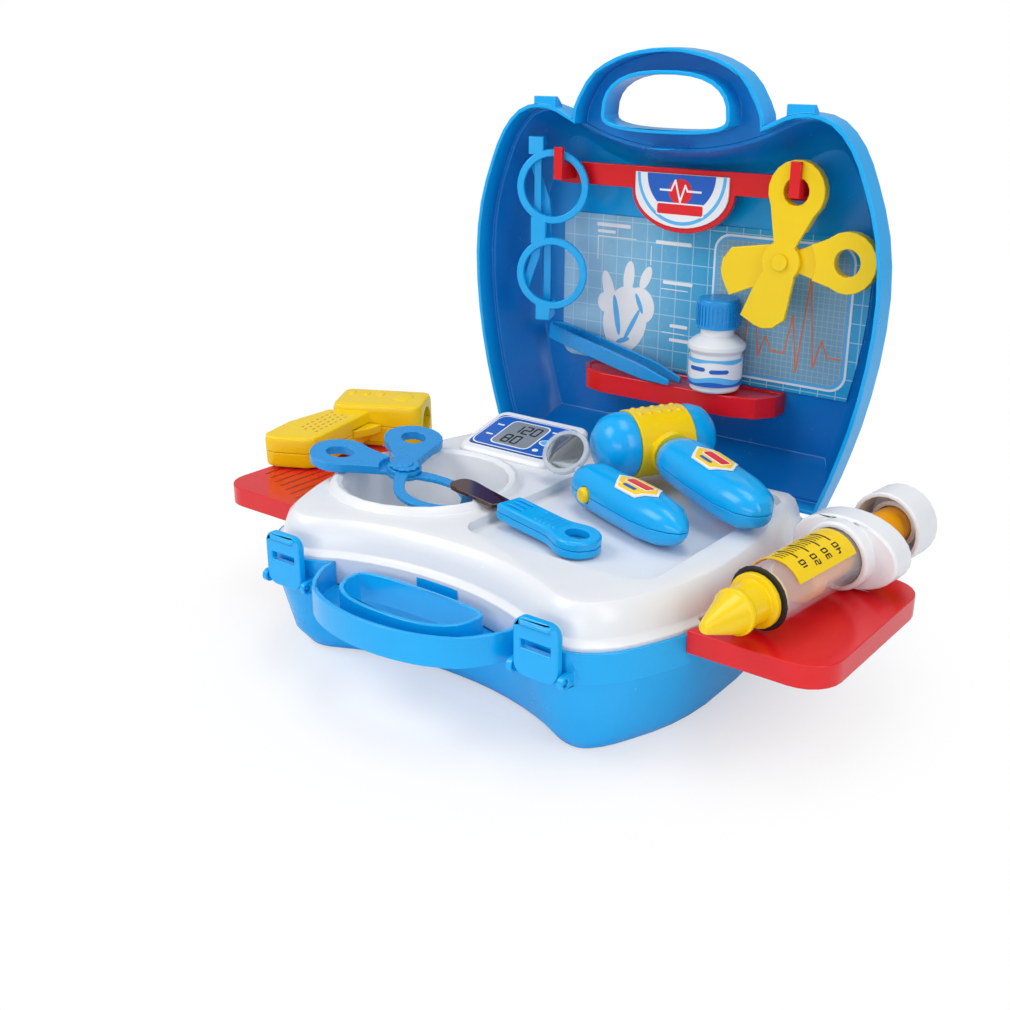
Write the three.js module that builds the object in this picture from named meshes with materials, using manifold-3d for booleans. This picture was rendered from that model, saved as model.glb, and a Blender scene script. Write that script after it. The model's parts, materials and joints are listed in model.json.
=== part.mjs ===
// A toy doctor case that stands open, with its tools laid out. Millimetres, +Z up.
// X runs across the case, -Y to the front. The origin is the middle of the flat underside.
import * as THREE from "three";
import { mergeVertices } from "three/addons/utils/BufferGeometryUtils.js";
import Module from "manifold-3d";

const wasm = await Module();
wasm.setup();

// Clearances
const fit_gap = 0.3;
const overrun = 1;
const weld_distance = 0.0001;

// Case shells
const upright_deg = 90;
const wall = 2.2;
const case_half_width = 130;
const case_length = 208.3;
const hinge_edge_y = 104;
const base_depth = 57;
const lid_depth = 43;
const band_depth = 15;
const foot_inset = 18;
const base_knee_inset = 10;
const base_knee_height = 10;
const lid_knee_inset = 11;
const lid_knee_height = 9;
const band_step = 2;
const ledge_drop = 13;

// Handle of each shell, measured from the hinge edge
const handle_half_width = 58;
const handle_reach = 238.7;
const hole_reach = 203.4;
const hole_half_width = 37.9;
const hole_outer_reach = 21.8;
const hole_inner_reach = 6.3;

// Hinge
const hinge_offset = 2.4;
const hinge_bar_radius = 1.6;
const hinge_bore_radius = 1.9;
const hinge_lug_radius = 3.4;
const hinge_notch_radius = 3.8;
const hinge_inner_x = 50;
const hinge_outer_x = 76;
const hinge_lug_width = 4;
const hinge_side_gap = 0.4;
const hinge_slot = 2.9;
const hinge_y = hinge_edge_y + hinge_offset;
const lid_foot_z = base_depth + hinge_offset;

// Stop strip behind the hinge edge
const strip_half_width = 45;
const strip_thickness = 2.5;
const strip_low_z = 44;
const strip_leg_top_z = 56.2;
const strip_reach = 14;
const strip_rib_width = 3;
const strip_rib_x = 36;
const tab_x = 30;
const tab_width = 12;
const tab_low_z = 47;
const tab_height = 4;

// Latches and their catches
const latch_x = 79;
const latch_width = 24;
const latch_low_z = 42.5;
const latch_height = 28.5;
const latch_thickness = 4;
const latch_pin_z = 45.2;
const latch_pin_radius = 1.5;
const latch_pin_reach = 2.6;
const latch_lug_width = 3;
const latch_lug_radius = 3.3;
const latch_slot_width = 16;
const latch_slot_height = 4.2;
const latch_slot_z = 56;
const latch_face_gap = 1.6;
const catch_width = 15;
const catch_reach = 4;
const catch_depth = 9;
const catch_nose = 2.7;

// Tray
const tray_top_z = 76;
const tray_skirt_inset = wall + fit_gap;
const tray_flange_inset = 6;
const tray_flange_rise = 2.6;
const tray_dome_inset = 12;
const tray_skin = 2;
const recess_left = -8;
const recess_right = 101;
const recess_front = -58;
const recess_back = 84;
const recess_corner = 13;
const recess_floor_z = 71;
const recess_skin = 2;
const recess_slope = 2.5;
const bowl_x = -65.6;
const bowl_y = -16.5;
const bowl_rim_radius = 50.5;
const bowl_rim_z = 79.6;
const bowl_floor_radius = 32;
const bowl_floor_z = 46;
const bowl_skin = 2;

// Screen block of the tray
const monitor_x = -57.5;
const monitor_y = 60.5;
const monitor_width = 66;
const monitor_length = 46;
const monitor_corner = 7;
const monitor_front_rise = 3;
const monitor_back_rise = 14;
const monitor_face_width = 56.5;
const monitor_face_length = 35;
const monitor_face_thickness = 1.2;

// Side shelves
const shelf_inner_x = 126;
const shelf_outer_x = 188.7;
const shelf_front_y = -58;
const shelf_back_y = 52;
const shelf_top_z = 60;
const shelf_thickness = 11;
const shelf_skin = 2.2;
const shelf_corner = 17;
const shelf_hook_drop = 9;
const shelf_hook_length = 56;
const shelf_rim_gap = 0.35;

// Fittings of the lid, heights measured from its lower edge
const bar_half_width = 85;
const bar_low = 162.6;
const bar_height = 12.5;
const bar_depth = 24;
const bar_thickness = 3;
const bar_hook_x = 75;
const bar_hook_width = 6;
const bar_hook_reach = 15.5;
const bar_hook_thickness = 2.5;
const bar_arm_low = 165.6;
const bar_arm_high = 175.1;
const bar_tip_high = 184;
const badge_half_width = 33;
const badge_drop = 23;
const badge_inset = 3;
const badge_plate_thickness = 1;
const lid_shelf_half_width = 65;
const lid_shelf_low = 41.6;
const lid_shelf_height = 12;
const lid_shelf_front = 12.5;
const lid_shelf_skin = 2;
const panel_left = -91;
const panel_right = 110;
const panel_low = 54.6;
const panel_high = 143.6;
const panel_thickness = 0.8;
const panel_corner = 8;

// Rivets of the hinged tools
const rivet_pin_radius = 2.2;
const rivet_head_radius = 4.6;
const rivet_head_thickness = 1.2;

// Scissors, hung on the right hook: angles about the pivot, and the blade as [along, across]
const scissors_pivot_x = 68.9;
const scissors_depth = 14.3;
const scissors_half_thickness = 2.85;
const scissors_ring_reach = 37.5;
const scissors_ring_radius = 16;
const scissors_hole_radius = 7.2;
const scissors_neck = 3;
const scissors_hub_radius = 11;
const scissors_clear_radius = 20;
const scissors_front_ring_deg = 80.6;
const scissors_back_ring_deg = 5;
const scissors_front_blade_deg = 258;
const scissors_back_blade_deg = 192;
const scissors_blade = [
  [0, -8], [7, -10], [29, -11], [35.3, -5.6], [37.4, 0], [37.2, 5], [34.5, 14.6], [16.7, 11.3], [8, 9],
];

// Forceps, lying on the bowl's rim
const forceps_place = [-79, -19, 80.5];
const forceps_turn_deg = [0, 8, -18];
const forceps_half_thickness = 2.5;
const forceps_ring_reach = 39;
const forceps_ring_radius = 17;
const forceps_hole_width = 8;
const forceps_hole_height = 7;
const forceps_neck = 3;
const forceps_hub_radius = 9.5;
const forceps_clear_radius = 14;
const forceps_wheel_radius = 8.7;
const forceps_front_ring_deg = 143;
const forceps_back_ring_deg = 217;
const forceps_leg_outer = [[3, 7], [14, 15], [28, 20.5], [42, 18], [51, 10], [55, 1.2]];
const forceps_leg_inner = [[50, 1.2], [46, 7.5], [39, 12.5], [28, 14.5], [17, 9.5], [9, 2]];

// Scalpel, lying from the bowl's rim into the recess: half outline as [along, half width]
const scalpel_place = [0.6, -28.4, 79.9];
const scalpel_turn_deg = [0, 3.8, -10.5];
const scalpel_half_thickness = 4.5;
const scalpel_half_outline = [
  [0, 6.4], [1.6, 8], [20, 8.1], [34, 8], [40, 9.2], [45, 11.2], [50, 12], [55.5, 10.6], [60, 6.4], [62, 0],
];
const scalpel_ring_x = 50;
const scalpel_hole_length = 6.5;
const scalpel_hole_width = 5.5;
const scalpel_slot_low = 4;
const scalpel_slot_high = 14;
const scalpel_slot_width = 1.6;
const scalpel_slot_pitch = 4;
const scalpel_rib_low = 25;
const scalpel_rib_pitch = 3.2;
const scalpel_rib_height = 0.7;
const blade_length = 41.7;
const blade_half_thickness = 1.2;
const blade_tang = 16;
const blade_tang_half_width = 5.5;
const blade_half_outline = [[0, 5.5], [-20, 6.4], [-34, 7.4], [-39.5, 6], [-41.4, 3], [-41.7, 0]];

// Handles of the hammer and the mirror: sections along X as [x, half width, half height]
const handle_skin = 2;
const handle_power = 2.3;
const handle_points = 20;
const patch_lift = 0.3;
const patch_thickness = 0.6;
const patch_half_length = 17;
const patch_half_width = 8.5;

// Hammer: the head's axis is local Y
const hammer_place = [24.3, 71, 95.3];
const hammer_turn_deg = [0, 3.75, -28.6];
const hammer_radius = 19;
const hammer_bore = 16.5;
const hammer_half_length = 16.5;
const hammer_collar_radius = 12;
const hammer_collar_bore = 8.5;
const hammer_collar_low = 17.5;
const hammer_collar_high = 22;
const hammer_tongue_low = 16.7;
const hammer_cap_profile = [
  [0, 17], [8.4, 15.8], [14.4, 11], [16, 6], [13.7, -6], [16.2, -6],
  [16.2, 0.3], [18.2, 0.3], [18.2, 6], [16.3, 12.2], [11.6, 16.7], [6, 18.5], [0, 19],
];
const hammer_sections = [
  [22.3, 9, 8.5], [26, 13, 11], [35, 15.5, 12], [60, 16, 12], [85, 15, 12], [98, 12, 10.5],
  [105, 6.5, 6.5], [107, 2.5, 2.5],
];
const hammer_hollow = [[30, 12, 8.8], [35, 13.4, 10], [60, 14, 10], [85, 13, 10], [95, 10.4, 8.6]];
const hammer_patch_x = 61;

// Mirror: the handle is local X, and the stem group has its own X along the stem
const mirror_place = [13, 22, 83.3];
const mirror_turn_deg = [0, 0, -23];
const mirror_stem_turn_deg = [-37.4, -26.6, 180];
const mirror_sections = [
  [0, 7, 7], [3, 10.5, 10], [10, 12.5, 12], [35, 13, 12], [60, 13, 12], [74, 11, 10.5],
  [82, 7, 7.5], [87, 2.5, 2.5],
];
const mirror_hollow = [[13, 10.5, 9.8], [35, 11, 10], [60, 11, 10], [71, 9, 8.6]];
const mirror_patch_x = 49;
const stem_radius = 3;
const stem_foot = 7.6;
const mirror_ring_x = 22;
const mirror_ring_radius = 13.5;
const mirror_ring_bore = 10.6;
const mirror_ring_half_height = 1.8;
const mirror_lens_half_height = 0.7;
const button_x = 19;
const button_radius = 4.2;
const button_front = 15;
const button_back = 9.2;
const button_flange_radius = 5;
const button_flange_thickness = 1;
const button_stop_y = -2.6;
const button_spring_length = 3.8;
const button_spring_radius = 2.2;
const button_spring_turns = 2;
const spring_wire = 0.45;

// Syringe, lying on the right shelf: local X runs from the nozzle's tip to the thumb cap
const syringe_place = [141.5, -77.4, 73.8];
const syringe_turn_deg = [0, -2.36, 81.7];
const nozzle_profile = [
  [0, 0], [2.4, 0], [3.2, 1.2], [9.7, 19], [10.8, 20.2], [10.8, 22.2], [10, 23], [10, 34],
  [12.8, 34.4], [12.8, 37.2], [11.7, 37.2], [11.7, 44], [0, 44],
];
const seal_profile = [[12.1, 37.6], [14.3, 37.5], [15, 38.4], [14.3, 39.2], [12.1, 39.2], [12.1, 37.6]];
const barrel_radius = 14;
const barrel_bore = 12.1;
const barrel_low = 39.5;
const barrel_high = 113.5;
const flange_collar_radius = 17;
const flange_collar_low = 97;
const flange_low = 104;
const flange_high = 118;
const flange_half_width = 28;
const flange_half_height = 17.7;
const flange_bore = 14.3;
const flange_wall = 4;
const piston_radius = 11.7;
const piston_low = 64;
const piston_high = 74;
const plunger_rod_radius = 9.4;
const plunger_rod_high = 155.6;
const thumb_profile = [
  [0, 158.6], [17.6, 158.6], [18.5, 157.6], [18.5, 141.4], [17.9, 140.8], [16.3, 140.8], [15.9, 156],
  [12.2, 156], [12.2, 148], [9.8, 148], [9.8, 156], [0, 156],
];
const syringe_label_low = 50;
const syringe_label_high = 94;
const syringe_label_half_deg = 62;

// Thermometer gun, lying on the left shelf: local X runs to the muzzle, and -Y down the grip
const gun_place = [-172, 59, 75.05];
const gun_turn_deg = [4.2, 0, 27];
const gun_left = -27;
const gun_right = 31;
const gun_low = -15.5;
const gun_high = 17;
const gun_corner = 6;
const gun_half_thickness = 14;
const gun_edge = 4;
const gun_skin = 2.4;
const grip_half_thickness = 10;
const grip_edge = 3;
const grip_outline = [
  [-1, -13], [-18, -59], [-21, -64.5], [-27, -67], [-46, -67], [-52, -64.5], [-54, -59], [-47, -38],
  [-29, -13],
];
const grip_hollow = [[-3.8, -12], [-21, -60], [-49, -60], [-43.5, -38], [-26, -12]];
const muzzle_radius = 9;
const muzzle_seat_x = 24;
const muzzle_wall = 3;
const lens_thickness = 2;
const trigger_half_thickness = 2.5;
const trigger_shape = [[-3, -16.6], [6, -17.5], [2.4, -24], [-6, -31], [-12, -31], [-7.8, -16.6]];
const trigger_flange = [[-6.2, -17.2], [-10.8, -29.6], [-12.8, -29.6], [-8.2, -17.2]];
const trigger_flange_half_thickness = 4.4;
const trigger_mouth = [[8, -16], [8, -31.8], [-12, -31.8], [-8, -16]];
const trigger_spring_low = -21.6;
const trigger_spring_length = 6;
const trigger_spring_radius = 2.4;
const trigger_spring_turns = 4;
const trigger_spring_y = -23.2;
const trigger_stop_thickness = 2.2;

// Bottle on the lid's shelf: profiles as [radius, height above its foot]
const bottle_x = 28.5;
const bottle_depth = 22.4;
const bottle_lift = 0.4;
const bottle_profile = [
  [0, 0], [13, 0], [14.2, 1.2], [14.7, 22], [16.5, 24.5], [16.5, 27], [12.2, 30.5], [9.5, 32], [9.5, 46],
  [8, 46], [8, 32], [10.8, 29.2], [14.6, 26.2], [12.9, 22], [12.5, 2], [0, 2],
];
const bottle_cap_profile = [[0, 52.6], [11, 52.6], [12, 51.6], [12, 36], [9.8, 36], [9.8, 48], [0, 48]];
const bottle_label_radius = 15.5;
const bottle_label_thickness = 0.5;
const bottle_label_low = 4;
const bottle_label_high = 20;

// Tweezers leaning in the lid: the bend at the origin, the tips along X
const tweezers_place = [-95, 70.4, 9.2];
const tweezers_turn_deg = [0, -10.2, -8.2];
const tweezers_outer = [
  [104, 6], [80, 7.6], [40, 7.6], [8, 6.6], [1, 4.2], [-1, 0], [1, -4.2], [8, -6.6], [40, -7.6],
  [80, -7.6], [104, -6],
];
const tweezers_inner = [
  [104, -4.5], [80, -5.6], [40, -5.6], [9, -4.6], [3, -2.6], [1.2, 0], [3, 2.6], [9, 4.6], [40, 5.6],
  [80, 5.6], [104, 4.5],
];
const tweezers_plan = [
  [-3, -4.5], [60, -4.5], [85, -4], [105, -1.5], [105, 1.5], [85, 4], [60, 4.5], [-3, 4.5],
];

// Glasses hung on the left hook: rings one above the other, arms folded behind them
const glasses_place = [-80.6, 135.35, 31];
const glasses_turn_deg = [0, 24, 0];
const glasses_ring_y = 25.65;
const glasses_ring_radius = 21.6;
const glasses_ring_bore = 17.35;
const glasses_half_thickness = 1.8;
const glasses_bridge_left = -13;
const glasses_bridge_right = -4;
const glasses_bridge_half_length = 8;
const glasses_upper_lane = [-12.4, -8];
const glasses_lower_lane = [-7.4, -3];
const glasses_cheek = 2;
const glasses_cheek_low = 44;
const glasses_cheek_high = 54.2;
const glasses_pin_y = 50.6;
const glasses_pin_radius = 1.2;
const glasses_arm_thickness = 3;
const glasses_upper_arm_z = -5.5;
const glasses_lower_arm_z = -11;
const glasses_arm_length = 90;
const glasses_ear_length = 22;
const glasses_ear_reach = 8;

// Colours and finishes
const finishes = {
  case_blue: { color: 0x2aa9ec, roughness: 0.35, metalness: 0 },
  deep_blue: { color: 0x1568c8, roughness: 0.35, metalness: 0 },
  tool_blue: { color: 0x2f8fe0, roughness: 0.3, metalness: 0 },
  pale_blue: { color: 0x62b8ee, roughness: 0.35, metalness: 0 },
  red: { color: 0xd9202a, roughness: 0.35, metalness: 0 },
  yellow: { color: 0xf6cf18, roughness: 0.35, metalness: 0 },
  orange: { color: 0xf3a51d, roughness: 0.35, metalness: 0 },
  white: { color: 0xf2f4f6, roughness: 0.35, metalness: 0 },
  brown: { color: 0x4a1d14, roughness: 0.25, metalness: 0 },
  maroon: { color: 0x5a1020, roughness: 0.2, metalness: 0 },
  rubber: { color: 0x1a1a1c, roughness: 0.7, metalness: 0 },
  clear: { color: 0xdfeaf2, roughness: 0.08, metalness: 0 },
  steel: { color: 0xb9bec4, roughness: 0.3, metalness: 1 },
  label: { color: 0xf5ead0, roughness: 0.5, metalness: 0 },
};

// A closed solid from a three.js geometry, with its faces turned out.
function solidOf(geometry) {
  const plain = geometry.clone();
  plain.deleteAttribute("normal");
  plain.deleteAttribute("uv");
  const merged = mergeVertices(plain, weld_distance);
  const corners = merged.index.array;
  const kept = [];
  for (let i = 0; i < corners.length; i += 3) {
    const [a, b, c] = [corners[i], corners[i + 1], corners[i + 2]];
    if (a !== b && b !== c && c !== a) kept.push(a, b, c);
  }
  const mesh = new wasm.Mesh({
    numProp: 3,
    vertProperties: new Float32Array(merged.attributes.position.array),
    triVerts: new Uint32Array(kept),
  });
  return new wasm.Manifold(mesh);
}

// A named mesh of a solid, in its finish.
function piece(name, solid, finish) {
  const cut = solid.getMesh();
  const geometry = new THREE.BufferGeometry();
  geometry.setAttribute("position", new THREE.BufferAttribute(new Float32Array(cut.vertProperties), 3));
  geometry.setIndex(new THREE.BufferAttribute(new Uint32Array(cut.triVerts), 1));
  geometry.computeVertexNormals();
  const mesh = new THREE.Mesh(geometry, new THREE.MeshStandardMaterial(finishes[finish]));
  mesh.name = name;
  return mesh;
}

// A group of pieces at a place, turned in degrees about X, Y and Z in that order of nesting.
function groupAt(place, turn_deg, pieces) {
  const group = new THREE.Group();
  group.position.set(...place);
  const [x, y, z] = turn_deg.map((angle) => THREE.MathUtils.degToRad(angle));
  group.rotation.set(x, y, z, "ZYX");
  group.add(...pieces);
  return group;
}

// Points on an outline: [x, y] pairs.
const shifted = (points, x, y) => points.map((p) => [p[0] + x, p[1] + y]);
const scaled = (points, x, y) => points.map((p) => [p[0] * x, p[1] * y]);

// Twice the signed area of a closed outline, positive when it runs anticlockwise.
function turnOf(points) {
  return points.reduce((sum, p, i) => {
    const q = points[(i + 1) % points.length];
    return sum + p[0] * q[1] - q[0] * p[1];
  }, 0);
}

// An outline moved inwards by a distance, with mitred corners. A negative distance moves it out.
function inset(points, distance) {
  const side = Math.sign(turnOf(points)) * distance;
  return points.map((p, i) => {
    const before = points[(i + points.length - 1) % points.length];
    const after = points[(i + 1) % points.length];
    const one = new THREE.Vector2(before[1] - p[1], p[0] - before[0]).normalize();
    const two = new THREE.Vector2(p[1] - after[1], after[0] - p[0]).normalize();
    const sum = one.clone().add(two);
    const reach = (2 * side) / sum.lengthSq();
    return [p[0] + sum.x * reach, p[1] + sum.y * reach];
  });
}

// A rounded rectangle between two corners.
function roundRect(left, low, right, high, radius, steps = 6) {
  const points = [];
  const middles = [
    [right - radius, high - radius],
    [left + radius, high - radius],
    [left + radius, low + radius],
    [right - radius, low + radius],
  ];
  middles.forEach(([x, y], quarter) => {
    for (let i = 0; i <= steps; i++) {
      const angle = (quarter + i / steps) * Math.PI / 2;
      points.push([x + radius * Math.cos(angle), y + radius * Math.sin(angle)]);
    }
  });
  return points;
}

// An oval: power 2 is an ellipse, and more squares its corners.
function oval(half_width, half_height, power, count) {
  return Array.from({ length: count }, (_, i) => {
    const angle = (i / count) * 2 * Math.PI;
    const [c, s] = [Math.cos(angle), Math.sin(angle)];
    const x = Math.sign(c) * Math.abs(c) ** (2 / power);
    const y = Math.sign(s) * Math.abs(s) ** (2 / power);
    return [half_width * x, half_height * y];
  });
}

// A smooth curve through points, sampled.
function smooth(points, count) {
  const curve = new THREE.SplineCurve(points.map((p) => new THREE.Vector2(...p)));
  return curve.getPoints(count).map((p) => [p.x, p.y]);
}

// A closed solid through rings of 3-D points, each ring with as many points, with fan caps.
function loft(rings) {
  const count = rings[0].length;
  const vertices = rings.flat();
  const faces = [];
  const middle = (ring) => [0, 1, 2].map((k) => ring.reduce((sum, p) => sum + p[k], 0) / count);
  const first = vertices.push(middle(rings[0])) - 1;
  const last = vertices.push(middle(rings[rings.length - 1])) - 1;
  for (let i = 0; i < count; i++) {
    const next = (i + 1) % count;
    faces.push(first, next, i);
    const top = (rings.length - 1) * count;
    faces.push(last, top + i, top + next);
    for (let r = 0; r + 1 < rings.length; r++) {
      const [low, high] = [r * count, (r + 1) * count];
      faces.push(low + i, low + next, high + next, low + i, high + next, high + i);
    }
  }
  const geometry = new THREE.BufferGeometry();
  geometry.setAttribute("position", new THREE.BufferAttribute(new Float32Array(vertices.flat()), 3));
  geometry.setIndex(faces);
  const volume = faces.reduce((sum, _, i) => {
    if (i % 3) return sum;
    const [a, b, c] = [0, 1, 2].map((k) => new THREE.Vector3(...vertices[faces[i + k]]));
    return sum + a.dot(b.cross(c));
  }, 0);
  if (volume < 0) geometry.setIndex(faces.reverse());
  return solidOf(geometry);
}

// A loft of one outline through levels of [inset, z].
const loftLevels = (outline, levels) =>
  loft(levels.map(([distance, z]) => inset(outline, distance).map((p) => [...p, z])));

// A plate of an outline in X and Y, between two heights.
function plate(points, low, high) {
  const ordered = turnOf(points) < 0 ? [...points].reverse() : points;
  const shape = new THREE.Shape(ordered.map((p) => new THREE.Vector2(...p)));
  const made = new THREE.ExtrudeGeometry(shape, { depth: high - low, bevelEnabled: false });
  return solidOf(made.translate(0, 0, low));
}

// A plate of an outline in Y and Z, along X.
const plateX = (points, from, to) => plate(points, from, to).transform(axes_to_x);
const axes_to_x = new THREE.Matrix4().makeBasis(
  new THREE.Vector3(0, 1, 0),
  new THREE.Vector3(0, 0, 1),
  new THREE.Vector3(1, 0, 0),
).elements;

// A plate of an outline in X and Z, along Y.
const plateY = (points, from, to) =>
  plate(points.map(([x, z]) => [z, x]), from, to).transform(axes_to_y);
const axes_to_y = new THREE.Matrix4().makeBasis(
  new THREE.Vector3(0, 0, 1),
  new THREE.Vector3(1, 0, 0),
  new THREE.Vector3(0, 1, 0),
).elements;

// A box between two corners.
const block = (low, high) =>
  plate([[low[0], low[1]], [high[0], low[1]], [high[0], high[1]], [low[0], high[1]]], low[2], high[2]);

// A turned solid about Z, from a profile of [radius, z].
function turned(profile, segments = 32) {
  const points = profile.map((p) => new THREE.Vector2(...p));
  const geometry = new THREE.LatheGeometry(points, segments).rotateX(Math.PI / 2);
  const solid = solidOf(geometry);
  return solid.volume() > 0 ? solid : solidOf(flipped(geometry));
}

// A geometry with each face turned round.
function flipped(geometry) {
  const turned_round = geometry.clone();
  turned_round.setIndex([...geometry.index.array].reverse());
  return turned_round;
}

// A round rod about Z.
const rod = (radius, low, high, segments = 24) =>
  turned([[0, low], [radius, low], [radius, high], [0, high]], segments);

// Solids joined into one.
const joined = (solids) => solids.reduce((sum, solid) => sum.add(solid));

// Solids at X and at -X.
const mirrored = (solid) => solid.add(solid.mirror([1, 0, 0]));

// Case outline, as shares of its half width and its length: a sharp corner at the hinge edge,
// then the side, the shoulder and the dip below the handle
const case_corner_shares = [0.818, 0];
const case_shares = [
  [0.872, 0.096], [0.937, 0.24], [0.985, 0.408], [1, 0.576], [0.972, 0.72], [0.907, 0.84],
  [0.84, 0.925], [0.75, 0.982], [0.644, 1], [0.538, 0.989], [0.43, 0.957], [0.308, 0.931],
  [0.154, 0.912], [0, 0.907],
];
const outline_steps = 52;
const case_corner = scaled([case_corner_shares], case_half_width, case_length);
const case_half = scaled(case_shares, case_half_width, case_length);
const case_other_half = scaled(case_half.slice(0, -1).reverse(), -1, 1);
const case_outline = [
  ...case_corner,
  ...smooth([...case_half, ...case_other_half], outline_steps),
  ...scaled(case_corner, -1, 1),
];

// How far the outline reaches from the hinge edge, at a place across it.
function reachAt(x) {
  const far = case_outline.filter((p) => p[1] > case_length / 2).sort((p, q) => p[0] - q[0]);
  const after = far.findIndex((p) => p[0] > x);
  const [p, q] = [far[after - 1], far[after]];
  return p[1] + ((x - p[0]) / (q[0] - p[0])) * (q[1] - p[1]);
}

// Handle outline, as shares of its half width and its reach
const handle_shares = [
  [1.069, 0.775], [1.03, 0.835], [1, 0.873], [0.828, 0.938], [0.586, 0.974], [0.31, 0.993], [0, 1],
];
const handle_steps = 26;
const handle_half = scaled(handle_shares, handle_half_width, handle_reach);
const handle_other_half = scaled(handle_half.slice(0, -1).reverse(), -1, 1);
const handle_outline = smooth([...handle_half, ...handle_other_half], handle_steps);

// Finger hole of the handle
const hole_power = 2.6;
const hole_steps = 30;
const hole_outline = oval(hole_half_width, 1, hole_power, hole_steps).map(([x, y]) => [
  x,
  hole_reach + y * (y > 0 ? hole_outer_reach : hole_inner_reach),
]);

// One shell of the case, from its flat face at zero up to its rim.
function caseShell(place, depth, outer_levels, inner_levels) {
  const body = loftLevels(place(case_outline), outer_levels);
  const cavity = loftLevels(place(case_outline), inner_levels);
  const handle_foot = depth - band_depth;
  const handle = plate(place(handle_outline), handle_foot, depth);
  const handle_cavity = plate(inset(place(handle_outline), wall), handle_foot + wall, depth + overrun);
  const ring = plate(inset(place(hole_outline), -wall), handle_foot, depth);
  const hole = plate(place(hole_outline), handle_foot - overrun, depth + overrun);
  return body.add(handle).subtract(cavity).subtract(handle_cavity).add(ring).subtract(hole);
}

// The base's outline runs from the hinge edge towards -Y.
const inBase = (points) => points.map(([u, v]) => [u, hinge_edge_y - v]);
const inLid = (points) => points;

// Base shell, with hinge bars, latch lugs and slots for the stop strip
const band_foot_z = base_depth - band_depth;
const ledge_z = base_depth - ledge_drop;
const base_outer_levels = [
  [foot_inset, 0],
  [base_knee_inset, base_knee_height],
  [band_step, band_foot_z],
  [0, band_foot_z],
  [0, base_depth],
];
const base_inner_levels = [
  [foot_inset + wall - fit_gap, wall],
  [base_knee_inset + wall, base_knee_height + fit_gap],
  [band_step + wall, ledge_z],
  [wall, ledge_z],
  [wall, base_depth + overrun],
];

function hingeBars() {
  const axis = shifted(oval(hinge_lug_radius, hinge_lug_radius, 2, 16), hinge_y, base_depth);
  const bar = shifted(oval(hinge_bar_radius, hinge_bar_radius, 2, 16), hinge_y, base_depth);
  const web = [
    [hinge_edge_y - wall / 2, base_depth],
    [hinge_edge_y - wall / 2, base_depth - hinge_lug_radius * 3],
    [hinge_y + hinge_lug_radius, base_depth],
  ];
  const lug = (x) => plateX(axis, x, x + hinge_lug_width).add(plateX(web, x, x + hinge_lug_width));
  const inner = lug(hinge_inner_x);
  const outer = lug(hinge_outer_x - hinge_lug_width);
  return mirrored(joined([inner, outer, plateX(bar, hinge_inner_x, hinge_outer_x)]));
}

const hook_from = hinge_inner_x + hinge_lug_width + hinge_side_gap;
const hook_to = hinge_outer_x - hinge_lug_width - hinge_side_gap;

// Ears at each side of a latch, rooted in the middle of the front wall.
function latchLugs() {
  const disc = shifted(oval(latch_lug_radius, latch_lug_radius, 2, 16), latch_axis_y, latch_pin_z);
  const bore_radius = latch_pin_radius + fit_gap;
  const bore = shifted(oval(bore_radius, bore_radius, 2, 16), latch_axis_y, latch_pin_z);
  const ear = (x) => {
    const root_y = hinge_edge_y - reachAt(x + latch_lug_width / 2) + wall / 2;
    const web = [
      [root_y, latch_pin_z - latch_lug_radius],
      [latch_axis_y, latch_pin_z - latch_lug_radius],
      [latch_axis_y, latch_pin_z + latch_lug_radius],
      [root_y, latch_pin_z + latch_lug_radius],
    ];
    const solid = plateX(disc, x, x + latch_lug_width).add(plateX(web, x, x + latch_lug_width));
    return solid.subtract(plateX(bore, x - overrun, x + latch_lug_width + overrun));
  };
  const reach = latch_width / 2 + fit_gap;
  return mirrored(ear(latch_x - reach - latch_lug_width).add(ear(latch_x + reach)));
}

const latch_back_y = hinge_edge_y - case_length - latch_face_gap;
const latch_axis_y = latch_back_y - latch_thickness / 2;

function tabSlots() {
  const half = tab_width / 2 + fit_gap;
  return mirrored(
    block(
      [tab_x - half, hinge_edge_y - base_knee_inset, tab_low_z - fit_gap],
      [tab_x + half, hinge_edge_y + overrun, tab_low_z + tab_height + fit_gap],
    ),
  );
}

function baseShell() {
  const shell = caseShell(inBase, base_depth, base_outer_levels, base_inner_levels);
  const notch = shifted(oval(hinge_notch_radius, hinge_notch_radius, 2, 16), hinge_y, base_depth);
  const notches = mirrored(plateX(notch, hinge_inner_x + hinge_lug_width, hinge_outer_x - hinge_lug_width));
  return shell.subtract(notches).subtract(tabSlots()).add(hingeBars()).add(latchLugs());
}

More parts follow.
